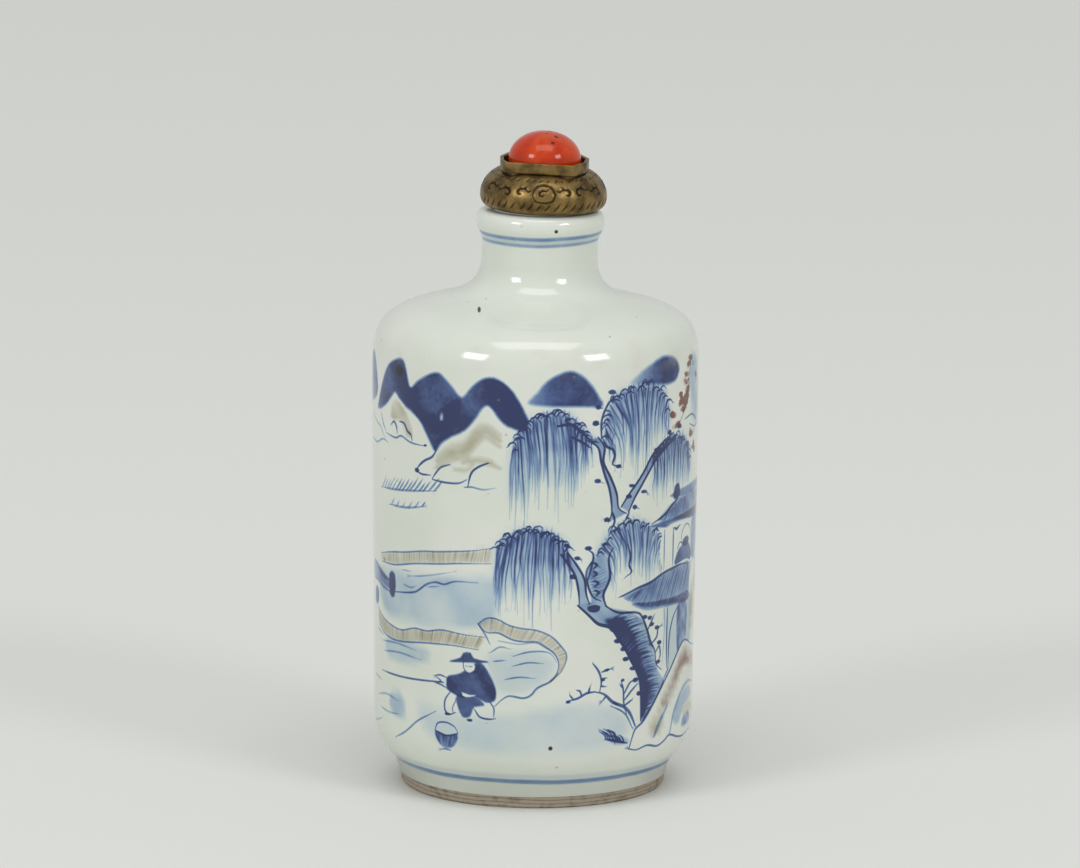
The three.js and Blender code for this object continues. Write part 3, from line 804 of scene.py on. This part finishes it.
blossoms((24.4, 40.0), 2.0, 1.2, 9, 0.1, 0.55)
blossoms((25.2, 48.0), 1.4, 1.4, 8, 0.5, 0.4)

# The shrub and the grass in front, and the terraced rocks on the right.
stroke([(12.7, 9.4), (11.9, 11.0), (11.0, 11.9), (9.5, 12.6), (8.4, 13.6), (7.2, 14.0)], 0.34, 0.75)
stroke([(12.2, 9.4), (11.4, 10.8), (10.6, 11.5), (9.4, 12.1)], 0.18, 0.6)
stroke([(6.9, 17.3), (7.6, 16.4), (8.0, 15.2), (7.8, 14.0)], 0.22, 0.8)
stroke([(7.2, 14.0), (6.2, 13.9), (5.2, 13.4), (3.9, 13.1)], 0.24, 0.75)
for path in ([(8.0, 16.2), (8.7, 16.4), (9.2, 16.5)], [(8.0, 15.4), (8.6, 15.5)],
    [(7.9, 14.6), (8.5, 14.5)], [(5.6, 13.6), (5.4, 14.2), (5.0, 14.3)], [(6.4, 13.9), (6.6, 14.6)],
    [(4.6, 13.3), (4.2, 13.8)], [(9.6, 12.6), (10.2, 12.2)], [(8.6, 13.4), (8.2, 12.9)],
    [(10.6, 14.9), (10.9, 13.8), (11.0, 12.2), (11.4, 11.0)], [(11.0, 13.4), (11.8, 14.6), (12.4, 14.8)],
    [(11.0, 12.6), (12.0, 13.6), (13.0, 14.4)], [(10.9, 14.0), (10.4, 14.6)], [(11.0, 12.0), (12.2, 12.6)]):
    stroke(path, 0.2, 0.75, end=0.4, step=0.35)
for u, v in ((8.7, 16.4), (10.8, 15.0), (4.0, 13.0), (8.2, 15.3), (12.6, 14.9)):
    dot(u, v, 0.6, 0.35)
tuft(9.6, 8.3, 6, 1.5, -0.9, 0.75)
tuft(10.6, 7.9, 5, 1.0, -0.9, 0.7)
stroke([(8.6, 8.4), (10.2, 8.0), (11.6, 7.6)], 0.3, 0.7)
fill([(9.0, 8.4), (11.4, 8.2), (11.8, 7.6), (10.0, 7.6)], 0.3, COBALT, 0.4)
rocks = [(11.9, 6.9), (12.2, 8.0), (12.7, 9.1), (13.7, 9.7), (14.7, 10.7), (16.0, 12.2), (17.5, 13.9),
    (18.9, 15.3), (20.2, 16.6), (21.2, 17.4), (22.2, 17.8), (23.3, 17.6), (25.2, 16.8), (27.2, 16.4)]
picture.reserve(rocks + [(27.4, 6.9), (22.0, 6.8), (16.8, 6.6)], 0.2)
fill([(14.8, 8.2), (15.4, 9.8), (16.8, 10.6), (17.4, 9.0), (16.2, 7.9)], uneven(0.5, 0.3, 0.8), KHAKI, 0.8)
fill([(16.4, 10.6), (17.6, 12.4), (19.4, 14.4), (20.8, 16.2), (22.4, 17.0), (24.4, 16.4), (26.6, 15.4),
    (26.6, 14.2), (24.4, 14.6), (22.8, 15.0), (21.2, 14.0), (19.6, 12.4), (18.0, 10.8)],
    uneven(0.55, 0.25, 0.8, 2.0), COPPER, 0.8)
fill([(20.4, 14.6), (21.6, 15.8), (23.2, 15.8), (24.8, 15.2), (24.0, 14.6), (22.2, 14.8)], 0.3, COPPER, 0.6)
stroke(rocks, 0.26, 0.75)
stroke([(11.8, 6.9), (13.1, 6.6), (14.7, 6.9), (16.6, 6.5), (17.9, 6.9), (18.9, 7.4), (21.0, 6.8),
    (23.1, 6.5), (25.2, 6.8), (27.4, 6.6)], 0.22, 0.7)
stroke([(15.8, 7.8), (16.8, 9.4), (18.1, 10.8)], 0.5, 0.55, soft=0.3)
stroke([(18.9, 7.6), (19.6, 9.6), (20.8, 11.2), (22.2, 12.3), (24.0, 12.7), (26.4, 12.2)], 0.4, 0.45,
    soft=0.3)
fill([(19.6, 9.0), (20.8, 11.0), (22.4, 12.0), (24.6, 12.2), (25.6, 10.8), (22.6, 10.2), (21.0, 8.4)], 0.3,
    WASH, 0.6)
fill([(22.0, 7.8), (22.6, 9.0), (24.8, 9.0), (25.0, 7.8)], uneven(0.5, 0.3, 0.7), COBALT, 0.5)
fill([(21.6, 9.6), (24.8, 10.4), (26.4, 9.2), (24.4, 8.8)], 0.4, KHAKI, 0.7)


# The far side, plainer: more hills, a young willow over a bank, a boat, grass and water lines, and the
# rocks that run on from the terrace.
stroke([(27.2, 16.4), (29.5, 15.0), (31.0, 12.2), (33.4, 10.6), (35.2, 7.4), (36.0, 6.8)], 0.24, 0.7)
stroke([(27.4, 6.6), (30.0, 6.9), (33.0, 6.6), (36.0, 6.8)], 0.2, 0.6)
fill([(27.4, 14.6), (29.2, 13.4), (30.6, 10.6), (29.6, 9.6), (28.0, 11.2), (27.2, 12.8)], uneven(0.5, 0.3),
    COPPER, 0.8)
fill([(30.6, 9.4), (32.4, 9.8), (34.0, 8.0), (32.4, 7.4)], uneven(0.5, 0.3), KHAKI, 0.7)
stroke([(28.2, 7.8), (29.4, 9.8), (31.2, 10.6)], 0.4, 0.45, soft=0.3)
fill([(27.2, 31.4), (27.2, 35.8), (29.4, 35.4), (31.0, 33.0), (29.8, 32.0)], uneven(0.55, 0.2), COBALT, 0.4)
fill([(26.8, 22.6), (26.8, 26.6), (29.2, 26.2), (31.4, 24.0), (30.6, 23.0)], uneven(0.5, 0.2), COBALT, 0.4)
far_hills([(30.5, 45.0), (32.4, 48.2), (34.4, 50.0), (36.2, 49.4), (37.8, 47.2), (39.4, 48.6), (41.2, 49.6),
    (43.0, 48.4), (44.6, 45.2)], [(32.6, 44.8), (34.6, 46.2), (36.6, 44.6), (38.6, 44.0), (40.8, 45.8),
    (43.0, 44.6)], 0.8, 2.0)
far_hills([(-54.5, 45.2), (-52.6, 48.0), (-50.8, 49.4), (-48.8, 48.0), (-47.2, 46.4), (-45.2, 48.6),
    (-43.0, 50.0), (-40.8, 48.6), (-39.0, 45.4)], [(-52.8, 45.0), (-50.6, 46.2), (-48.0, 44.4),
    (-45.6, 44.6), (-43.0, 46.4), (-40.8, 45.0)], 0.8, 4.0)
fill([(-36.5, 46.4), (-35.2, 48.8), (-33.2, 49.6), (-31.2, 48.4), (-30.2, 46.4)], uneven(0.7, 0.15), COBALT,
    0.4)
willow([(-40.0, 31.0), (-38.8, 33.0), (-37.0, 34.4), (-35.0, 34.8), (-33.0, 34.2), (-31.4, 32.8),
    (-30.4, 30.8)], [(-40.4, 24.6), (-38.6, 23.0), (-36.4, 24.6), (-34.4, 23.0), (-32.4, 24.4),
    (-30.2, 25.6)], 50, 26)
bough([(-35.6, 34.0), (-36.0, 28.0), (-37.4, 22.0), (-38.0, 17.0), (-39.4, 14.6)],
    [(-34.4, 34.0), (-34.4, 28.0), (-35.4, 22.0), (-35.8, 17.0), (-34.6, 14.4)], 0.85, 0.5,
    ((-36.6, 26.0), (-34.6, 23.4), (-37.8, 19.6), (-35.6, 18.0)))
strokes([(-36.0, 27.0), (-37.4, 22.0), (-38.0, 17.0)], [(-34.8, 26.0), (-35.6, 21.0), (-36.2, 16.6)], 22,
    0.16, 0.6, fade=0.3, bow=0.1)
bank([(-50.5, 16.2), (-46.0, 15.6), (-42.0, 14.6), (-38.0, 14.4), (-34.0, 14.6), (-30.0, 13.8)],
    [(-50.0, 15.0), (-46.0, 14.2), (-42.0, 13.4), (-38.0, 13.2), (-34.0, 13.2), (-30.4, 12.8)], 50)
bank([(38.0, 19.6), (41.0, 20.4), (45.0, 20.6), (50.0, 19.8), (53.5, 18.4)],
    [(38.4, 18.4), (41.0, 19.0), (45.0, 19.2), (50.0, 18.4), (53.0, 17.4)], 44)
fill([(38.5, 26.0), (46.0, 27.4), (53.5, 26.4), (54.0, 22.4), (46.0, 21.6), (39.0, 22.0)],
    uneven(0.24, 0.4, 2.4), WASH, 1.4)
fill([(-54.0, 12.4), (-44.0, 12.6), (-32.0, 12.0), (-31.0, 8.6), (-42.0, 7.6), (-53.0, 8.6)],
    uneven(0.22, 0.4, 2.4), WASH, 1.4)
ripples([(40.0, 25.0), (44.0, 25.4), (47.0, 25.0)], [(43.0, 23.4), (48.0, 23.8), (52.0, 23.2)],
    [(-52.0, 21.0), (-48.0, 21.4), (-44.0, 21.0)], [(-50.0, 19.2), (-46.0, 19.6)],
    [(-53.0, 35.4), (-49.0, 35.8)], [(40.0, 36.2), (45.0, 36.6), (50.0, 36.2)],
    [(42.0, 34.4), (47.0, 34.6)])
tuft(46.0, 20.4, 9, 3.0, 0.25, 0.6)
tuft(50.6, 19.6, 7, 2.4, -0.2, 0.6)
tuft(-47.5, 15.8, 8, 2.6, 0.3, 0.6)
stroke([(42.2, 12.0), (44.2, 11.0), (48.6, 10.8), (51.6, 12.2)], 0.34, 0.8)
stroke([(42.2, 12.0), (45.6, 12.3), (49.0, 12.2), (51.6, 12.2)], 0.2, 0.7)
fill([(44.0, 12.2), (44.4, 13.8), (46.6, 14.4), (48.8, 13.8), (49.2, 12.2), (46.6, 12.4)], uneven(0.4, 0.2),
    KHAKI, 0.3)
strokes([(44.2, 12.4), (46.6, 12.6), (49.0, 12.4)], [(44.8, 13.8), (46.6, 14.3), (48.6, 13.8)], 10, 0.14,
    0.5)
ripples([(40.4, 10.2), (44.0, 9.8), (49.0, 9.9), (53.4, 10.4)], [(43.0, 8.6), (48.0, 8.4)])


# ---------------------------------------------------------------------------------------------
# The bottle's mesh and its materials: the painted wall rolled up, the foot ring below it, the
# shoulder, neck and inside above it, the glaze over all, and bare clay on the foot ring.
# ---------------------------------------------------------------------------------------------
PAINTED_TOP = 53.0
heights = np.array([height for radius, height in wall_outline])
radii = np.array([radius for radius, height in wall_outline])
slopes = np.gradient(radii, heights)


def rolled_up(picture, outline, along, girth, columns, step, depth=0.0):
    """A turned surface as a mesh on its unrolled face, cut along every mark's edges, then rolled up. along
    holds the v of each point of the outline. depth sinks the surface where the first pigment lies."""
    rows = [along[0]]
    for low, high in zip(along, along[1:]):
        rows += list(np.linspace(low, high, max(1, math.ceil((high - low) / step)) + 1)[1:])
    points = [(u, v) for v in rows for u in np.linspace(-girth / 2, girth / 2, columns + 1)]
    edges = []
    for track, closed in picture.cuts():
        first = len(points)
        points += [(u, v) for u, v in track]
        last = len(points) - 1
        edges += [(i, i + 1) for i in range(first, last)] + ([(last, first)] if closed else [])
    points, _, faces, _, _, _ = delaunay_2d_cdt([Vector(p) for p in points], edges, [], 0, 1e-4)
    flat = np.array([tuple(p) for p in points])
    loads = picture.loads(flat)
    radius, height = (np.interp(flat[:, 1], along, values) for values in np.transpose(outline))
    out = np.gradient(np.array(outline), np.array(along), axis=0)
    out = np.stack([np.interp(flat[:, 1], along, out[:, 1]), -np.interp(flat[:, 1], along, out[:, 0])], 1)
    out /= np.linalg.norm(out, axis=1, keepdims=True)
    radius, height = radius - depth * loads[0] * out[:, 0], height - depth * loads[0] * out[:, 1]
    around = flat[:, 0] * 2 * math.pi / girth
    solid = np.stack([radius * np.sin(around), -radius * np.cos(around), height], 1) * MM
    mesh = bpy.data.meshes.new("rolled_up")
    mesh.from_pydata([tuple(p) for p in solid], [], [tuple(f) for f in faces])
    for name, values in zip(PIGMENTS, loads):
        mesh.attributes.new(name, "FLOAT", "POINT").data.foreach_set("value", values.astype(np.float32))
    corners = np.array([loop.vertex_index for loop in mesh.loops])
    span = (flat[corners, 1] - along[0]) / (along[-1] - along[0])
    flat_uv = np.stack([flat[corners, 0] / girth + 0.5, 0.01 + 0.54 * span], 1)
    mesh.uv_layers.new(name="OFBake").data.foreach_set("uv", flat_uv.ravel().astype(np.float32))
    return mesh


wall_part = [point for point in wall_outline if point[1] < PAINTED_TOP]
wall_top = wall_part[-1][1]
wall_mesh = rolled_up(picture, wall_part, [point[1] for point in wall_part], GIRTH, COLUMNS, 0.8)
rest_outline = [point for point in wall_outline if point[1] > wall_top - 1e-6] + neck_outline + inner_outline
body_bm = spun(in_mm(rest_outline), COLUMNS, closed=False)
foot_bm = spun(in_mm(foot_outline + wall_outline[:1]), COLUMNS, closed=False)
foot_mesh = bpy.data.meshes.new("foot")
foot_bm.to_mesh(foot_mesh)
body_bm.from_mesh(foot_mesh)
for face in body_bm.faces:
    middle = face.calc_center_median()
    outer = 12.7 < middle.xy.length / MM < 15.3 and middle.z / MM < 1.45
    face.material_index = 1 if outer else 0
body_bm.from_mesh(wall_mesh)
bmesh.ops.remove_doubles(body_bm, verts=[v for v in body_bm.verts if v.is_boundary], dist=1e-6)
bmesh.ops.recalc_face_normals(body_bm, faces=body_bm.faces)
LEAN_FROM = 53.6
LEAN_FULL = 5.0
LEAN_SLOPE = math.tan(math.radians(1.0))
LEAN_SHIFT = 0.28
LEAN_LEVEL = 56.6
for vert in body_bm.verts:
    height = vert.co.z / MM
    if height > LEAN_FROM:
        lean = smooth((height - LEAN_FROM) / LEAN_FULL)
        vert.co.x += lean * (LEAN_SHIFT + LEAN_SLOPE * (height - LEAN_LEVEL)) * MM
        vert.co.z -= lean * LEAN_SLOPE * vert.co.x

# Clear glaze over the pigments. Each pigment takes its own share of the light that the body returns.
glaze = Shader("painted_porcelain", Roughness=0.09, IOR=1.58)
place = glaze.place()
pooling = glaze.noise(0.0022, detail=4.0, at=place)
grain = glaze.noise(0.0005, detail=2.0, at=place)
cloud = glaze.noise(0.014, detail=3.0, at=place)
wet = 0.6 + 0.5 * pooling + 0.26 * grain
blue = glaze.attribute("cobalt") * wet + glaze.attribute("wash") * (0.5 + 0.7 * pooling + 0.3 * cloud)
colour = glaze.mix(cloud.between(0.3, 0.7), (0.64, 0.675, 0.60), (0.69, 0.71, 0.65))
white = (1.0, 1.0, 1.0)
COBALT_SHADES = [(0.0, white), (0.22, (0.59, 0.72, 0.89)), (0.5, (0.23, 0.36, 0.66)),
    (0.75, (0.08, 0.14, 0.41))]
COBALT_SHADES.append((1.0, (0.012, 0.028, 0.16)))
colour = glaze.mix(1.0, colour, glaze.ramp(blue, COBALT_SHADES), "MULTIPLY")
parts = glaze.node("ShaderNodeSeparateXYZ", {}, {0: place})
across, depth, height = (parts.out(axis) / MM for axis in "XYZ")
wander = height + 0.5 * glaze.noise(0.012, detail=2.0, at=place)
# The blue rings round the neck and above the foot: height, breadth and load.
RINGS = ((63.89, 0.2, 0.42), (63.07, 0.17, 0.34), (63.48, 0.5, 0.16), (3.3, 0.26, 0.55), (3.8, 0.5, 0.12))
rings = 0.0
for level, breadth, load in RINGS:
    line = 1.0 - abs(wander - level - 0.25).between(breadth * 0.6, breadth * 1.6)
    rings = line * (load * (0.7 + 0.6 * pooling)) + rings
RING_SHADES = [(0.0, white), (0.3, (0.55, 0.68, 0.86)), (0.6, (0.22, 0.36, 0.66)), (1.0, (0.05, 0.1, 0.3))]
colour = glaze.mix(1.0, colour, glaze.ramp(rings, RING_SHADES), "MULTIPLY")
# The three iron specks on the front: place across, height and radius.
SPECKS = ((2.0, 7.7, 0.26), (2.2, 64.77, 0.22), (-6.4, 56.2, 0.2))
for x, z, radius in SPECKS:
    speck = ((across - x) ** 2.0 + (height - z) ** 2.0) ** 0.5
    spot = (1.0 - speck.between(0.7 * radius, 1.2 * radius)) * (0.0 - depth).between(0.0, 1.0)
    colour = glaze.mix(spot, colour, (0.02, 0.016, 0.014))
earth = (glaze.attribute("khaki") * (0.55 + 0.9 * pooling)).least(1.0)
colour = glaze.mix(1.0, colour, glaze.mix(earth, white, (0.5, 0.42, 0.29)), "MULTIPLY")
red = (glaze.attribute("copper") * (0.5 + 1.0 * pooling)).least(1.0)
colour = glaze.mix(1.0, colour, glaze.mix(red, white, (0.25, 0.07, 0.045)), "MULTIPLY")
dark = (glaze.attribute("iron") * wet).least(1.0)
colour = glaze.mix(1.0, colour, glaze.mix(dark, white, (0.03, 0.025, 0.025)), "MULTIPLY")
flecks = glaze.node("ShaderNodeTexVoronoi", {}, {"Vector": place, "Scale": 520.0}).out("Distance")
grime = (1.0 - flecks.between(0.05, 0.11)) * glaze.noise(0.006, detail=2.0, at=place).between(0.52, 0.62)
colour = glaze.mix(grime * 0.45, colour, (0.2, 0.15, 0.1))
below_shoulder = 1.0 - abs(height - 52.0).between(0.8, 2.6)
worn = glaze.noise(0.004, detail=5.0, at=place).between(0.45, 0.75) * below_shoulder
colour = glaze.mix(worn * 0.25, colour, (0.55, 0.47, 0.37))
glaze.set(Base_Color=colour, Roughness=0.08 + 0.06 * cloud)
glaze.bump(cloud, 0.00025, 0.35)
biscuit = Shader("bare_foot", Roughness=0.75)
level = biscuit.node("ShaderNodeSeparateXYZ", {}, {0: biscuit.place()}).out("Z") / MM
wheel_marks = biscuit.noise(0.02, detail=4.0) * 3.0 + level * 2.2
dirt = biscuit.noise(0.0012, detail=4.0).between(0.45, 0.7)
soiled = (wheel_marks - wheel_marks.math("FLOOR")).between(0.55, 0.95) * 0.6 + dirt * 0.5
biscuit.set(Base_Color=biscuit.mix(soiled.least(1.0), (0.42, 0.36, 0.28), (0.12, 0.085, 0.055)))
biscuit.bump(biscuit.noise(0.0008, detail=4.0), 0.0001, 0.8)
bottle = finished("bottle", body_bm, [glaze.material, biscuit.material], slot="porcelain")
for mesh in (wall_mesh, foot_mesh):
    bpy.data.meshes.remove(mesh)
directions = []
for vert in bottle.data.vertices:
    x, y, height = vert.co / MM
    on_wall = heights[0] - 1e-3 <= height <= wall_top + 1e-3
    if on_wall and math.hypot(x, y) > np.interp(height, heights, radii) - 0.3:
        away = Vector((x, y, 0.0)).normalized()
        away.z = -np.interp(height, heights, slopes)
        directions.append(away.normalized())
    else:
        directions.append(vert.normal.copy())
bottle.data.normals_split_custom_set_from_vertices(directions)
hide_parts("bottle")


# ---------------------------------------------------------------------------------------------
# The collar. A hollow brass cushion, engraved with scrolls and ticks, dark in its cuts. The stopper
# that it carries stands loose on the lip, a little tilted.
# ---------------------------------------------------------------------------------------------
TILT = Euler((math.radians(0.9), math.radians(1.6), 0)).to_matrix().to_4x4()
STOPPER = Matrix.Translation((0.699 * MM, 0.0, 66.72 * MM)) @ TILT
collar_outline = [(4.1, -0.2), (6.0, -0.2)] + curve((6.0, -0.2), (6.7, -0.2), (7.2, 0.3), (7.2, 1.2), 8)
collar_outline += curve((7.2, 1.2), (7.2, 2.3), (6.6, 3.5), (5.2, 4.15), 16) + [(4.1, 4.15)]
COLLAR_COLUMNS = 160
outer = collar_outline[1:-1]
reach = [0.0]
for p, q in zip(outer, outer[1:]):
    reach.append(reach[-1] + math.dist(p, q))
engraving = Painting()
COLLAR_GIRTH = 2 * math.pi * 7.0


def scroll(u, v, size, turn, sign):
    """A leafy scroll: a spiral stem with ticks along its outside."""
    stem = [(u + size * (1 - 0.16 * k) * math.cos(turn + sign * 0.85 * k),
        v + 0.8 * size * (1 - 0.16 * k) * math.sin(turn + sign * 0.85 * k)) for k in range(6)]
    engraving.line(stem, 0.22, 0.95, end=0.6, step=0.25, soft=0.16)
    for k in range(5):
        x, y = stem[k]
        engraving.line([(x, y), (x + 0.35 * (x - u) + 0.1 * sign, y + 0.3 * (y - v) + 0.15)], 0.18, 0.8,
            end=0.2, step=0.2, soft=0.14)


for k in range(7):
    centre = (k - 3) * COLLAR_GIRTH / 7.4
    if k != 3:
        scroll(centre - 1.4, 3.3, 1.0, 0.4, 1)
        scroll(centre + 1.3, 3.1, 1.0, 2.8, -1)
    else:
        engraving.line([(centre - 1.3, 3.2), (centre - 0.9, 4.1), (centre, 4.4), (centre + 0.9, 4.1),
            (centre + 1.3, 3.2), (centre + 0.8, 2.4), (centre - 0.8, 2.4), (centre - 1.3, 3.2)], 0.24, 0.95,
            step=0.25, soft=0.16)
        scroll(centre - 0.1, 3.2, 0.7, 0.9, 1)
        scroll(centre - 2.7, 3.3, 0.9, 0.2, 1)
        scroll(centre + 2.7, 3.3, 0.9, 2.8, -1)
    for tick in range(6):
        u = centre - 2.6 + tick * 0.95 + hand.uniform(-0.1, 0.1)
        engraving.line([(u, 1.4), (u + 0.3, 1.75), (u + 0.5, 2.1)], 0.2, 0.85, end=0.2, step=0.25,
            soft=0.14)
        engraving.line([(u + 0.2, 4.9), (u + 0.45, 5.15)], 0.18, 0.8, end=0.3, step=0.2, soft=0.14)


def on_collar(mark):
    """Whether a mark keeps clear of the seam at the back and of the collar's two edges."""
    u, v = mark[1].T
    return abs(u).max() < COLLAR_GIRTH / 2 - 0.3 and v.min() > 0.3 and v.max() < reach[-1] - 0.2


engraving.marks = [mark for mark in engraving.marks if on_collar(mark)]
engraved = rolled_up(engraving, outer, reach, COLLAR_GIRTH, COLLAR_COLUMNS, 0.35, depth=0.11)
collar_bm = spun(in_mm(collar_outline[:2]), COLLAR_COLUMNS, closed=False)
inner_mesh = bpy.data.meshes.new("inner")
inner_bm = spun(in_mm([collar_outline[-2], collar_outline[-1], collar_outline[0]]), COLLAR_COLUMNS,
    closed=False)
inner_bm.to_mesh(inner_mesh)
collar_bm.from_mesh(inner_mesh)
collar_bm.from_mesh(engraved)
bmesh.ops.remove_doubles(collar_bm, verts=[v for v in collar_bm.verts if v.is_boundary], dist=1e-6)
bmesh.ops.transform(collar_bm, matrix=STOPPER, verts=collar_bm.verts)
bmesh.ops.recalc_face_normals(collar_bm, faces=collar_bm.faces)
brass = Shader("old_brass", Metallic=1.0)
tarnish = brass.noise(0.0016, detail=4.0)
groove = brass.attribute("cobalt")
metal = brass.mix(tarnish.between(0.35, 0.7), (0.27, 0.18, 0.065), (0.10, 0.066, 0.028))
brass.set(Base_Color=brass.mix(groove, metal, (0.022, 0.014, 0.008)))
brass.set(Roughness=0.28 + 0.22 * tarnish + 0.25 * groove)
brass.bump(brass.noise(0.0004), 0.00004, 0.6)
collar = finished("stopper_collar", collar_bm, [brass.material], slot="brass")
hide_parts("stopper_collar")


# ---------------------------------------------------------------------------------------------
# The setting. A strip of brass bent round the stone in a slightly angular loop and soldered to the
# collar, with its edges worn round.
# ---------------------------------------------------------------------------------------------
strip_bends = [(-4.5, -4.35), (3.3, -5.3), (4.75, -2.6), (5.05, 0.6), (4.1, 3.3), (1.6, 4.95), (-1.6, 4.95),
    (-4.1, 3.3), (-5.05, 0.4), (-5.0, -2.6)]
bezel_bm = bmesh.new()
for share in (1.0, 0.92):
    loop = [bezel_bm.verts.new((share * x * MM, share * y * MM, 4.25 * MM)) for x, y in strip_bends]
    for pair in zip(loop, loop[1:] + loop[:1]):
        bezel_bm.edges.new(pair)
bmesh.ops.bridge_loops(bezel_bm, edges=bezel_bm.edges)
raised = bmesh.ops.extrude_face_region(bezel_bm, geom=bezel_bm.faces)
bmesh.ops.translate(bezel_bm, vec=(0, 0, 1.2 * MM),
    verts=[v for v in raised["geom"] if isinstance(v, bmesh.types.BMVert)])
bmesh.ops.recalc_face_normals(bezel_bm, faces=bezel_bm.faces)
bmesh.ops.bevel(bezel_bm, geom=[e for e in bezel_bm.edges if e.calc_face_angle(0) > 0.2], offset=0.09 * MM,
    segments=2, profile=0.5, affect="EDGES", material=-1)
bmesh.ops.transform(bezel_bm, matrix=STOPPER, verts=bezel_bm.verts)
bmesh.ops.recalc_face_normals(bezel_bm, faces=bezel_bm.faces)
bezel = finished("stopper_bezel", bezel_bm, [brass.material], slot="brass")
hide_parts("stopper_bezel")


# ---------------------------------------------------------------------------------------------
# The stone. A polished dome of orange-red coral, veined, with a few dark pits near its top.
# ---------------------------------------------------------------------------------------------
coral_outline = [(0.0, 4.2), (4.15, 4.2), (4.15, 5.2)] + curve((4.15, 5.2), (4.15, 7.0), (2.4, 8.5),
    (0.0, 8.5), 20)
coral_bm = spun(in_mm(coral_outline), 96, closed=False)
bmesh.ops.transform(coral_bm, matrix=STOPPER, verts=coral_bm.verts)
bmesh.ops.recalc_face_normals(coral_bm, faces=coral_bm.faces)
coral_shader = Shader("coral", Roughness=0.13, IOR=1.4)
vein = coral_shader.noise(0.003, detail=4.0, distortion=0.6)
cells = coral_shader.node("ShaderNodeTexVoronoi", {}, {"Vector": coral_shader.place(), "Scale": 900.0})
cells = cells.out("Distance")
high = coral_shader.node("ShaderNodeSeparateXYZ", {}, {0: coral_shader.place()}).out("Z")
some = coral_shader.noise(0.0025, detail=1.0).between(0.4, 0.5)
pits = (1.0 - cells.between(0.16, 0.28)) * some * high.between(0.0736, 0.0744)
red = coral_shader.mix(vein.between(0.35, 0.65), (0.47, 0.026, 0.001), (0.56, 0.055, 0.004))
coral_shader.set(Base_Color=coral_shader.mix(pits, red, (0.03, 0.008, 0.004)))
coral_shader.bump(1.0 - pits, 0.0001, 1.0)
coral = finished("coral_cabochon", coral_bm, [coral_shader.material], slot="coral")
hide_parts("coral_cabochon")
